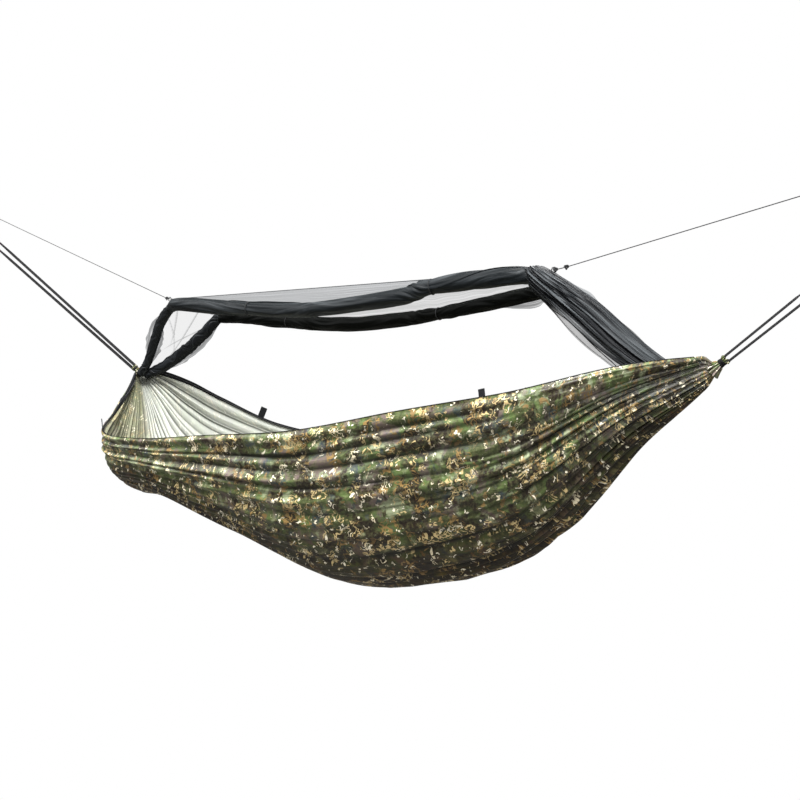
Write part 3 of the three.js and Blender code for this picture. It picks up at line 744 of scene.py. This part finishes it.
def bed_relief():
    """How strongly each point of the bed is painted with shade: where it lies in a crease of its outer and of
    its inner face, and, on its inner face, near the left gather; and how deep it lies."""
    near_edge = smoothstep(1.0, 0.975, np.abs(GRID_V))
    fan_crease, fan_sunk = fold_family(1, FAN_FOLDS, 0.028, 0.018, 0.0054, 12)
    small_crease, small_sunk = fold_family(1, SMALL_FOLDS, 0.010, 0.009, 0.0030, 16)
    long_crease, long_sunk = fold_family(1, LONG_FOLDS, 0.017, 0.017, 0.0066, 13)
    left_crease, left_sunk = fold_family(-1, LEFT_FOLDS, 0.011, 0.015, 0.0036, 14, 0.08)
    corner_crease, corner_sunk = fold_family(-1, CORNER_FOLDS, 0.009, 0.013, 0.0036, 15)
    billow = waves(3, 5, 2.0, 7.0)(GRID_U * 6 + 2.3 * GRID_V) * waves(4, 4, 3.0, 9.0)(GRID_V * 2.2 + GRID_U)
    billow = 0.007 * billow * smoothstep(0, 0.25, GRID_U) * smoothstep(1, 0.8, GRID_U)
    hem_roll = 0.008 * bell(np.abs(GRID_V) - 0.968, 0.020)
    hem_roll = hem_roll * smoothstep(0.10, 0.24, GRID_U) * smoothstep(1, 0.9, GRID_U)
    hood = smoothstep(0.66, 0.84, GRID_U) * smoothstep(-0.82, -0.90, GRID_V)
    hood_swell = 0.012 * hood * smoothstep(1, 0.97, GRID_U) * bell(GRID_V + 0.92, 0.06)
    zip_lane = smoothstep(0.78, 0.90, GRID_V) * smoothstep(0.45, 0.60, GRID_U)
    flat = 1 - 0.85 * np.maximum(hood, zip_lane)
    sunk = (np.maximum(fan_sunk, long_sunk) + small_sunk) * flat + corner_sunk - left_sunk
    sunk = sunk + np.abs(billow) * (1 - 0.85 * zip_lane)
    depth = sunk * near_edge - hem_roll - hood_swell
    right_crease = np.maximum(np.maximum(fan_crease, long_crease), 0.7 * small_crease)
    outer_crease = np.maximum(right_crease * (1 - 0.8 * hood), 0.6 * corner_crease)
    # painted shade: the inner face darkens towards the left gather, where the cloth bunches in
    gathered = 0.85 * bell((SMOOTH[..., 0] + HALF_SPAN) * np.ones_like(depth), 0.055)
    inner_crease = np.maximum(left_crease, 0.6 * right_crease)
    return outer_crease * near_edge, np.maximum(inner_crease * near_edge, gathered), depth


OUTER_CREASE, INNER_CREASE, RELIEF = bed_relief()
INWARD = inward(GRID_U, GRID_V)
FACE = SMOOTH + INWARD * RELIEF[..., None]


def on_cloth(u, v, depth=0.0):
    """A point on the pleated bed, moved in from its outer face, in the row frame."""
    u, v = np.broadcast_arrays(np.asarray(u, float), np.asarray(v, float))
    row = np.clip(u, 0, 1) * (BED_ROWS - 1)
    column = (np.clip(v, -1, 1) + 1) / 2 * (BED_COLUMNS - 1)
    i = np.minimum(row.astype(int), BED_ROWS - 2)
    j = np.minimum(column.astype(int), BED_COLUMNS - 2)
    a = (row - i)[..., None]
    b = (column - j)[..., None]

    def blend(field):
        top = field[i, j] * (1 - b) + field[i, j + 1] * b
        return top * (1 - a) + (field[i + 1, j] * (1 - b) + field[i + 1, j + 1] * b) * a

    return to_row(blend(FACE) + unit(blend(INWARD)) * np.asarray(depth)[..., None])


def edge_v(u, side, down):
    """The v that lies a distance down along the cloth from an edge."""
    girth = np.interp(u, GRID_U[:, 0], GIRTH[:, 0])
    return side * (1 - 2 * down / girth)


def make_bed():
    along = np.repeat(running_length(SMOOTH[:, BED_COLUMNS // 2])[:, None], BED_COLUMNS, 1)
    steps = np.diff(SMOOTH, axis=1, prepend=SMOOTH[:, :1])
    uv = np.stack([along, np.cumsum(np.linalg.norm(steps, axis=2), axis=1)], -1)
    # how far the outer face looks down, which sets its painted underside shade; crease sets its painted
    # crease shade
    underside_shade = smoothstep(0.12, 0.85, INWARD[..., 2])
    values = {"crease": OUTER_CREASE, "under": underside_shade}
    outer = grid_mesh("bed_outer_cloth", to_row(FACE), uv, values=values)
    add_to("hammock", outer, CAMO, "camo_cloth", "bed_outer_layer")
    # where the inner face gets its olive painted shade, the front of its left part and its right part; crease
    # sets its painted crease shade
    shaded = np.maximum(smoothstep(0.24, -0.06, GRID_V) * smoothstep(0.75, 0.2, GRID_U),
                        0.7 * smoothstep(0.42, 0.62, GRID_U))
    values = {"crease": INNER_CREASE, "shaded": shaded}
    inner = grid_mesh("bed_inner_cloth", to_row(FACE + INWARD * LAYER_GAP), uv, values=values)
    add_to("hammock", inner, LINING, "lining_cloth", "bed_inner_layer")
    return outer, inner


def make_edge_tape(name, side):
    """The binding of an edge: webbing down the inside of the cloth, turned over its edge."""
    u = np.linspace(0.02, 0.98, 260)[:, None]
    lip = 0.0008 + 0.008 * smoothstep(0.17, 0.11, u)
    inside = np.array([TAPE_WIDTH, TAPE_WIDTH, 0.010, 0.005, 0.001, 0.0, 0.0])
    narrow = np.minimum(1, np.interp(u, GRID_U[:, 0], GIRTH[:, 0]) / 0.30)
    down = np.hstack([inside * narrow, lip, lip])
    depth = np.array([0.0034, 0.0048, 0.0052, 0.0052, 0.0050, 0.0022, -0.0014, -0.0014, -0.0006])
    points = on_cloth(u, edge_v(u, side, down), np.broadcast_to(depth, down.shape))
    lift = np.array([0, 0, 0, 0, 0.0006, 0.0008, 0.0003, 0, 0])
    points = points + Z_AXIS * lift[None, :, None]
    uv = uv_grid(running_length(points[:, 4]), np.linspace(0, 0.03, len(depth)))
    tape = grid_mesh(f"{name}_edge_binding", points, uv)
    return add_to("hammock", tape, EDGE_WEBBING, "edge_webbing", f"{name}_edge_tape")


def make_zip_coil(name, side):
    u = np.linspace(0.05, 0.95, 220)
    path = on_cloth(u, edge_v(u, side, 0.006), np.full(220, 0.0068))
    coil = sweep(f"{name}_zip_teeth", path, circle(0.0013, 8))
    return add_to("hammock", coil, ZIP_COIL, "toggle_plastic", f"{name}_zip_coil")


# ---------------------------------------------------------------- net
def roll_route(route, steps):
    t = np.linspace(0, 1, steps)
    made = catmull(route, t)
    return t, made[:, :3], made[:, 3]


def rounded_ends(t, share):
    """1 along the middle of a roll, falling to 0 in a round at each end."""
    inset = np.clip(np.minimum(t, 1 - t) / share, 0, 1)
    return np.sqrt(np.maximum(1 - (1 - inset) ** 2, 1e-4))


ROLL_TWIST = 1.2  # how far a roll turns along its length, in radians


def rolled_sheet(name, route, steps, turns, ridges, seed, ties=()):
    """Net rolled up on itself round a route: a spiral sheet, with folds that wander along it, that is drawn
    in at its ties."""
    t, path, radius = roll_route(route, steps)
    across, up = across_and_up(path)
    angle = np.linspace(0, 2 * math.pi * turns, int(70 * turns))
    ripple = np.zeros((len(t), len(angle)))
    for k in range(3, 11):
        phase = waves(seed + k, 3, 2, 9)(t * 3)
        swell = ridges * (1 + 0.5 * sum(bell(t - tie, 0.06) for tie in ties))
        swell = swell / math.sqrt(k) * np.ones(len(t))
        ripple += swell[:, None] * np.cos(k * angle + 2.6 * phase[:, None] + seed)
    pinch = 1 - 0.13 * sum(bell(t - tie, 0.016) for tie in ties)
    girth = radius * pinch * rounded_ends(t, 0.02)
    size = girth[:, None] * (0.80 + 0.20 * smoothstep(0, angle[-1], angle)[None] + ripple)
    theta = angle[None] + (ROLL_TWIST * t + 0.9 * waves(seed, 5, 4, 22)(t * 2))[:, None]
    points = path[:, None] + across[:, None] * (size * np.cos(theta))[..., None]
    points = points + up[:, None] * (size * np.sin(theta))[..., None]
    length = running_length(path)[-1]
    around = 2 * math.pi * radius.max() * turns
    uv = uv_grid(t * length, angle / angle[-1] * around)
    return grid_mesh(name, to_row(points), uv), (length, around)


def net_sheet(piece, material, flat, held, *replaced):
    """Finishes a sheet of net: its material, its body and the nodes it stands for. flat, the size it's cut
    from, is not used.
    """
    add_to("hammock", piece, material, "net_mesh", *replaced)
    return piece


def make_roll(name, route, ties, node, material, seed):
    roll, flat = rolled_sheet(name, route, 300, 2.15, 0.034, seed, ties)
    return net_sheet(roll, material, flat, "folded", node)


def make_top_panel(name, route, side, node, seed):
    """The single layer of net from the ridge cord to the outside of a roll."""
    t, path, radius = roll_route(route, 160)
    top = np.stack([path[:, 0], np.full(len(t), side * LINE_DIAMETER / 2), np.full(len(t), RIDGE_HEIGHT)], -1)
    away = unit((top - path) * [0, 1, 1])
    foot = path + away * radius[:, None] * 0.9
    v = np.linspace(0, 1, 16)
    sag = 0.006 * np.sin(math.pi * v)
    flutter = 0.0018 * waves(seed, 6, 8, 40)(t * 3)[:, None] * np.sin(math.pi * v)[None]
    points = top[:, None] * (1 - v[None, :, None]) + foot[:, None] * v[None, :, None]
    points = points - Z_AXIS * (sag[None] + flutter)[..., None]
    width = np.linalg.norm(foot - top, axis=1)
    flat = (float(width.mean()), float(path[-1, 0] - path[0, 0]))
    return net_sheet(grid_mesh(name, to_row(points)), NET["single"], flat, "stretched", node)


def make_tail(name, route, node, seed):
    """A rolled end of the net, twisted and pulled to the gather."""
    tail, flat = rolled_sheet(name, route, 140, 1.6, 0.042, seed)
    return net_sheet(tail, NET["tail"], flat, "gathered", node)


def make_flap(name, route, reach, out, width, seed, part):
    """A loose fold of single net beside a tail or a roll: out is the way it stands off, width how far, and
    part the stretch of the route that it's on."""
    t = np.linspace(*part, 60)
    path = catmull(route, t)[:, :3]
    s = np.linspace(0, 1, 14)
    middle = (t - part[0]) / (part[1] - part[0])
    stand = width * np.sin(math.pi * middle**reach) * (1 + 0.10 * waves(seed, 3, 4, 11)(middle))
    away = stand[:, None, None] * s[None, :, None] * unit(np.array(out, float))
    wrinkle = 0.004 * waves(seed + 1, 5, 6, 26)(middle[:, None] * 2 + s[None])
    wrinkle = wrinkle * s[None] * np.sin(math.pi * middle)[:, None]
    points = path[:, None] + away + wrinkle[..., None] * np.array([0.2, 1.0, 0.2])
    length = float(running_length(path)[-1])
    uv = uv_grid(middle * length, s * width)
    flap = grid_mesh(name, to_row(points), uv)
    return net_sheet(flap, NET["flap"], (0.7 * width, length), "hung")


def make_left_panel():
    """The single layer of net that closes the left end between the two tails, with a few wrinkles."""
    t = np.linspace(0, 0.92, 80)
    front = catmull(LEFT_FRONT_TAIL, t)[:, :3]
    back = catmull(LEFT_BACK_TAIL, t)[:, :3]
    v = np.linspace(0, 1, 60)
    points = front[:, None] * (1 - v[None, :, None]) + back[:, None] * v[None, :, None]
    wrinkle = np.zeros((80, 60))
    for slope, place, until in ((0.9, 0.30, 0.5), (-1.3, 0.85, 0.6), (2.0, 0.15, 0.7), (0.4, 0.62, 0.9)):
        line = bell(v[None] - place - slope * (t[:, None] - 0.2), 0.012)
        wrinkle += 0.007 * line * smoothstep(until, until - 0.25, t)[:, None]
    points = points + np.array([1.0, 0, 0.35]) * wrinkle[..., None]
    thin = 1 - np.clip(wrinkle / 0.004, 0, 1)
    panel = grid_mesh("left_net_end", to_row(points), uv_grid(t * 0.3, v * 0.15), values={"thin": thin})
    return net_sheet(panel, NET["end"], (0.12, 0.28), "stretched", "left_net_end_panel")


# The two sides of the net's right end, from the ridge's end down to the gather: x and z in the ridge's plane
BUNDLE_UPPER = [[0.606, 0.278], [0.648, 0.252], [0.706, 0.214], [0.777, 0.164], [0.885, 0.066],
                [0.968, 0.008], [1.040, -0.002]]
BUNDLE_LOWER = [[0.566, 0.250], [0.590, 0.210], [0.640, 0.156], [0.704, 0.084], [0.774, 0.026],
                [0.851, -0.014], [1.020, -0.012]]
BUNDLE_DEPTH = [0.070, 0.072, 0.060, 0.048, 0.040, 0.028, 0.008]  # half its depth, front to back


def bundle_frame(steps):
    """The middle line of the net's right end, half the way across it, and half its depth."""
    t = np.linspace(0, 1, steps)
    upper, lower = catmull(BUNDLE_UPPER, t), catmull(BUNDLE_LOWER, t)
    centre, reach = (upper + lower) / 2, (upper - lower) / 2
    middle = np.stack([centre[:, 0], np.full(steps, 0.008), centre[:, 1]], -1)
    half = np.stack([reach[:, 0], np.zeros(steps), reach[:, 1]], -1)
    return t, middle, half, catmull(np.array(BUNDLE_DEPTH)[:, None], t)[:, 0]


def make_right_bundle():
    """The net's right end: a wide flattened tube of folds that run down it, pulled together towards the
    gather. Along its lower side it's a single layer, clear enough to see through."""
    t, middle, half, depth = bundle_frame(220)
    angle = np.linspace(0, 2 * math.pi, 320)
    across, back = np.cos(angle)[None], np.sin(angle)[None]
    drift = waves(61, 4, 2, 6)(t * 2)[:, None]
    folds = 0.050 * np.cos(13 * angle[None] + 1.4 * drift + 2 * t[:, None])
    folds = folds + 0.035 * np.cos(29 * angle[None] - 2.0 * drift + 5 * t[:, None])
    folds = folds + 0.018 * np.cos(53 * angle[None] + 3.0 * drift)
    swell = 1 + folds * (1 - 0.7 * np.abs(across) ** 6)
    points = middle[:, None] + half[:, None] * (across * swell)[..., None]
    points = points + Y_AXIS * (depth[:, None] * back * swell)[..., None]
    thin = smoothstep(-0.50, -0.62, across) * smoothstep(0.28, 0.42, t)[:, None] * np.ones_like(folds)
    uv = uv_grid(t * 0.6, angle / (2 * math.pi) * 0.32)
    bundle = grid_mesh("right_net_gather", to_row(points), uv, values={"thin": thin})
    return net_sheet(bundle, NET["loose"], (0.26, 0.62), "gathered", "right_net_end_bundle")


def make_bundle_core():
    """The folds inside the net's right end, which make its middle dark."""
    t, middle, half, depth = bundle_frame(120)
    angle = np.linspace(0, 2 * math.pi * 1.6, 220)
    ripple = 0.86 + 0.07 * np.cos(9 * angle[None] + 4 * t[:, None])
    ripple = ripple + 0.05 * np.cos(17 * angle[None] - 3 * t[:, None])
    share = ripple * (0.72 - 0.12 * angle[None] / angle[-1]) * rounded_ends(t, 0.03)[:, None]
    points = middle[:, None] + half[:, None] * (0.16 + share * np.cos(angle)[None])[..., None]
    points = points + Y_AXIS * (depth[:, None] * share * np.sin(angle)[None])[..., None]
    core = grid_mesh("right_net_gather_core", to_row(points), uv_grid(t * 0.6, angle / angle[-1] * 0.32))
    return net_sheet(core, NET["tail"], (0.26, 0.62), "gathered")


def make_bundle_fringe():
    """The edge of the net's right end that stands off its upper side in a single layer."""
    t, middle, half, _ = bundle_frame(160)
    s = np.linspace(0, 1, 10)[None]
    window = smoothstep(0.04, 0.35, t) * smoothstep(0.9, 0.6, t)
    width = 0.05 + 0.14 * window * (1 + 0.4 * waves(77, 4, 10, 34)(t))
    share = 0.89 + s * width[:, None]
    points = middle[:, None] + half[:, None] * share[..., None]
    points = points + Y_AXIS * (0.012 * waves(78, 4, 6, 20)(t)[:, None] * s)[..., None]
    fringe = grid_mesh("right_net_fringe", to_row(points), uv_grid(t * 0.6, s[0] * 0.04))
    return net_sheet(fringe, NET["flap"], (0.01, 0.6), "hung")


def make_hem():
    path = to_row(catmull(RIGHT_HEM, np.linspace(0, 1, 40)))
    hem = sweep("right_net_edge", path, circle(0.00125, 8))
    return add_to("hammock", hem, CORD, "cord", "right_net_hem")


# ---------------------------------------------------------------- small fittings
def node_axes(node):
    """A node's middle, its three axes from the longest to the shortest, and its size along each."""
    vertices = frame["nodes"][node].data.vertices
    corners = np.unique(np.round([vertex.co for vertex in vertices], 6), axis=0)
    middle = (corners.max(0) + corners.min(0)) / 2
    axes = np.linalg.svd(corners - corners.mean(0))[2]
    spans = [np.ptp((corners - middle) @ axis) for axis in axes]
    order = np.argsort(spans)[::-1]
    axes = axes[order]
    axes[0] *= 1 if axes[0][2] >= 0 else -1
    return middle, axes, np.array(spans)[order]


def make_tab(node, name):
    """A tab: webbing folded double, its fold on top, with its two ends sewn to the edge."""
    middle, (up, along, out), (height, width, thick) = node_axes(node)
    half = thick / 2 - 0.0006
    turn = np.linspace(0, math.pi, 9)
    leg = np.linspace(-height / 2 - 0.003, height / 2 - half, 12)
    outline = np.vstack([np.stack([np.full(12, -half), leg], -1),
                         np.stack([-half * np.cos(turn), leg[-1] + half * np.sin(turn)], -1)[1:-1],
                         np.stack([np.full(12, half), leg[::-1]], -1)])
    path = middle + outline[:, :1] * out + outline[:, 1:] * up
    section = strap_section() * [width / STRAP_WIDTH, 0.5]
    across = np.repeat(along[None], len(path), 0)
    tab = sweep(name, path, section, across, np.cross(unit(np.gradient(path, axis=0)), across))
    return add_to("hammock", tab, EDGE_WEBBING, "edge_webbing", node)


KNOT_CORD = 0.0046  # the thickness of the cord in a knot, drawn up and doubled


def make_knot(node, name, body="hammock", place=None):
    """An overhand knot as large as a node, as a tube along a trefoil, in the node's place or another one."""
    low, high = (np.array(corner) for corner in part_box(node))
    middle = (low + high) / 2 if place is None else to_row(place)
    size = (high - low).min() / 2
    t = np.linspace(0, 2 * math.pi, 120)
    loop = [np.sin(t) + 2 * np.sin(2 * t), np.sin(3 * t) * 1.1, np.cos(t) - 2 * np.cos(2 * t)]
    loop = np.stack(loop, -1) / 3
    knot = sweep(name, middle + size * loop, circle(KNOT_CORD / 2, 8))
    return add_to(body, knot, CORD, "cord", *([node] if place is None else []))


def make_toggle(node, name):
    """A toggle: a turned barrel with a collar at each end and a waist for its cord."""
    middle, (axis, side, other), (length, width, _) = node_axes(node)
    profile = np.array([[0.0, 0.0], [0.02, 0.55], [0.07, 0.9], [0.14, 1.0], [0.24, 1.0], [0.30, 0.78],
                        [0.44, 0.74], [0.50, 0.60], [0.56, 0.74], [0.70, 0.78], [0.76, 1.0], [0.86, 1.0],
                        [0.93, 0.9], [0.98, 0.55], [1.0, 0.0]])
    fine = catmull(profile, np.linspace(0, 1, 60))
    angle = np.linspace(0, 2 * math.pi, 28, endpoint=False)
    spoke = np.cos(angle)[:, None] * side + np.sin(angle)[:, None] * other
    points = middle + axis * (fine[:, :1] - 0.5)[..., None] * length
    points = points + spoke[None] * np.maximum(fine[:, 1:], 0)[..., None] * width / 2
    toggle = grid_mesh(name, points, closed=True)
    weld(toggle)
    return add_to("hammock", toggle, PLASTIC, "toggle_plastic", node)


def make_tie(name, route, tie, node):
    """An elastic loop round a roll."""
    at = catmull(route, np.array([tie - 0.002, tie, tie + 0.002]))
    forward = unit(at[2, :3] - at[0, :3])
    across = unit(np.cross(np.cross(forward, Y_AXIS), forward))
    up = np.cross(forward, across)
    radius = at[1, 3] * 0.9
    angle = np.linspace(0, 2 * math.pi, 64)
    centre = to_row(at[1, :3])
    points = centre + radius * (np.cos(angle)[:, None] * across + np.sin(angle)[:, None] * up)
    loop = sweep(name, points, circle(0.0014, 8), unit(points - centre), np.repeat(forward[None], 64, 0))
    return add_to("hammock", loop, CORD, "cord", node)


def make_pull(name, node, body):
    """A zip pull: a flat ring of wire, closed by a bar, with a grip at its far end."""
    middle, (up, side, out), (height, width, thick) = node_axes(node)
    angle = np.linspace(0, 2 * math.pi, 60)
    rounded = np.stack([np.sign(np.cos(angle)) * np.abs(np.cos(angle)) ** 0.45 * (width - thick) / 2,
                        np.sign(np.sin(angle)) * np.abs(np.sin(angle)) ** 0.45 * (height - thick) / 2], -1)
    path = middle + rounded[:, :1] * side + rounded[:, 1:] * up
    pull = sweep(name, path, circle(thick / 2, 10) * [1, 0.9])
    grip = np.linspace(-0.46, -0.02, 12)[:, None] * height * up + middle
    section = strap_section() * [(width - thick) / STRAP_WIDTH, thick / STRAP_THICKNESS * 0.7]
    plate = sweep(name + "_grip", grip, section, np.repeat(side[None], 12, 0), np.repeat(out[None], 12, 0))
    add_to(body, plate, ZIP_METAL, "zip_metal")
    return add_to(body, pull, ZIP_METAL, "zip_metal", node)


def make_hitch(end):
    """The hitch round the gathered cloth: webbing wound round it three times."""
    origin, x, z = end_frame(end)
    turns = np.linspace(0, 3.3 * 2 * math.pi, 150)
    radius = HITCH_RADIUS + 0.0006 * np.sin(turns * 1.7)
    advance = HITCH_PLACE + np.linspace(-0.0075, 0.0075, 150)
    spoke = np.cos(turns)[:, None] * Y_AXIS + np.sin(turns)[:, None] * z
    path = origin + advance[:, None] * x + radius[:, None] * spoke
    section = strap_section() * [0.45, 0.7]
    hitch = sweep(f"{end['side']}_hitch_winding", path, section, np.repeat(x[None], 150, 0), spoke)
    return add_to("hammock", hitch, STRAP_WEBBING, "strap_webbing", f"{end['side']}_gather_hitch")


HITCH_PLACE = 0.013  # from the gather to the middle of the hitch, along the straps
HITCH_RADIUS = 0.0095
GATHER_PLEATS = 13


def make_gathered_cloth(end):
    """The cloth past the gather: pleats that run from the bed's end through the hitch to a ruffled tuft."""
    origin, x, z = end_frame(end)
    place = np.array([-0.020, -0.008, 0.002, 0.008, 0.013, 0.018, 0.021, 0.0245, 0.0265, 0.024, 0.018])
    girth = np.array([0.022, 0.0165, 0.0125, 0.0090, 0.0078, 0.0086, 0.0100, 0.0115, 0.0105, 0.0070, 0.0020])
    t = np.linspace(0, 1, 90)
    place, girth = catmull(place[:, None], t)[:, 0], catmull(girth[:, None], t)[:, 0]
    angle = np.linspace(0, 2 * math.pi, 180)
    sway = 0.5 * waves(91, 3, 2, 6)(t * 2)[:, None]
    pleat = np.cos(GATHER_PLEATS * angle[None] + sway * 2) + 0.4 * np.cos(23 * angle[None] - sway * 3)
    size = girth[:, None] * (1 + 0.13 * pleat)
    frill = 0.0025 * smoothstep(0.6, 0.75, t)[:, None] * np.cos(7 * angle[None] + 1.0)
    spoke = np.cos(angle)[:, None] * Y_AXIS + np.sin(angle)[:, None] * z
    points = origin + (place[:, None] + frill)[..., None] * x + size[..., None] * spoke[None]
    uv = uv_grid(t * 0.09, angle / (2 * math.pi) * 0.35)
    # where the pleats' painted shade falls: the hollows between them
    crease = np.clip(-pleat, 0, 1)
    cloth = grid_mesh(f"{end['side']}_gather_tuft", points, uv, values={"crease": crease})
    return add_to("hammock", cloth, GATHERED_CAMO, "camo_cloth", f"{end['side']}_gathered_cloth")


def soften(node, bevel=0.0):
    """Rounds off a carried-over CAD piece: a small bevel on its edges, or a subdivision of its rings."""
    piece = frame["nodes"][node]
    piece.data.shade_smooth()
    if bevel:
        made = piece.modifiers.new("bevel", "BEVEL")
        made.width = bevel
        made.segments = 3
        made.harden_normals = True
        return
    made = piece.modifiers.new("round", "SUBSURF")
    made.levels = 2
    made.render_levels = 2


# ---------------------------------------------------------------- build
make_camera()
make_studio()
for end in (LEFT_END, RIGHT_END):
    for level in ("upper", "lower"):
        make_strap(end, level)
make_ridge_cord()
make_net_line("left", np.array([RIDGE_LEFT - 0.008, 0, RIDGE_HEIGHT + 0.001]),
              np.array([RIDGE_LEFT - 0.026, 0, RIDGE_HEIGHT + 0.004]), LEFT_NET_END)
make_net_line("right", np.array([RIDGE_RIGHT + 0.008, 0, RIDGE_HEIGHT - 0.001]),
              np.array([RIDGE_RIGHT + 0.046, 0, RIDGE_HEIGHT + 0.005]), RIGHT_NET_END)

outer, inner = make_bed()
tapes = [make_edge_tape(name, side) for name, side in SIDES]
for name, side in SIDES:
    make_zip_coil(name, side)
gathers = [make_gathered_cloth(end) for end in (LEFT_END, RIGHT_END)]
for end in (LEFT_END, RIGHT_END):
    make_hitch(end)

make_roll("front_rolled_net", FRONT_ROLL, FRONT_TIES, "front_net_roll", NET["front_roll"], 21)
make_roll("back_rolled_net", BACK_ROLL, BACK_TIES, "back_net_roll", NET["back_roll"], 33)
make_top_panel("front_net_top", FRONT_ROLL, -1, "front_net_top_panel", 2)
make_top_panel("back_net_top", BACK_ROLL, 1, "back_net_top_panel", 8)
make_tail("left_front_net_gather", LEFT_FRONT_TAIL, "left_front_net_tail", 41)
make_tail("left_back_net_gather", LEFT_BACK_TAIL, "left_back_net_tail", 52)
make_flap("left_front_net_fold", LEFT_FRONT_TAIL, 0.8, (-1.0, -0.2, 0.1), 0.040, 5, (0.0, 0.85))
make_flap("left_front_net_inner_fold", LEFT_FRONT_TAIL, 1.0, (1.0, 0.2, -0.2), 0.040, 6, (0.25, 0.85))
make_flap("left_back_net_fold", LEFT_BACK_TAIL, 0.7, (0.7, 0.1, -0.7), 0.042, 7, (0.0, 0.85))
make_flap("back_net_roll_fold", BACK_ROLL, 1.2, (0.1, 0.0, -1.0), 0.040, 8, (0.68, 1.0))
make_left_panel()
make_right_bundle()
make_bundle_core()
make_bundle_fringe()
make_hem()
for label, route, ties in (("front", FRONT_ROLL, FRONT_TIES), ("back", BACK_ROLL, BACK_TIES)):
    for side, tie in zip(("left", "right"), ties):
        node = f"{label}_{side}_roll_tie"
        make_tie(f"{label}_{side}_tie_loop", route, tie, node)
        make_toggle(f"{node}_toggle", f"{label}_{side}_tie_barrel")

for label in ("front", "back"):
    for place in ("left", "middle", "right"):
        make_tab(f"{label}_{place}_tab", f"{label}_{place}_folded_tab")
    make_pull(f"{label}_zip_pull_ring", f"{label}_zip_pull", f"{label}_pull")
    soften(f"{label}_zip_slider", bevel=0.0007)
make_knot("right_net_line_knot", "right_loop_knot", place=np.array([RIDGE_RIGHT + 0.014, 0, RIDGE_HEIGHT]))
for side in ("left", "right"):
    make_knot(f"{side}_net_line_knot", f"{side}_line_overhand_knot")
    make_knot(f"{side}_net_anchor_knot", f"{side}_anchor_overhand_knot", "anchors")
    for node in (f"{side}_ridge_loop", f"{side}_end_ring", f"{side}_net_anchor_ring"):
        soften(node)
    soften(f"{side}_anchor_link", bevel=0.0008)


SLOT_MATERIALS = {
    "camo_cloth": CAMO, "lining_cloth": LINING, "edge_webbing": EDGE_WEBBING,
    "strap_webbing": STRAP_WEBBING, "net_mesh": NET["front_roll"], "cord": CORD,
    "toggle_plastic": PLASTIC, "zip_metal": ZIP_METAL, "steel": STEEL,
}
for part in frame["record"]["subparts"]:
    node = frame["nodes"][part["node"]]
    node.data.materials.clear()
    node.data.materials.append(SLOT_MATERIALS[part["material_slot"]])
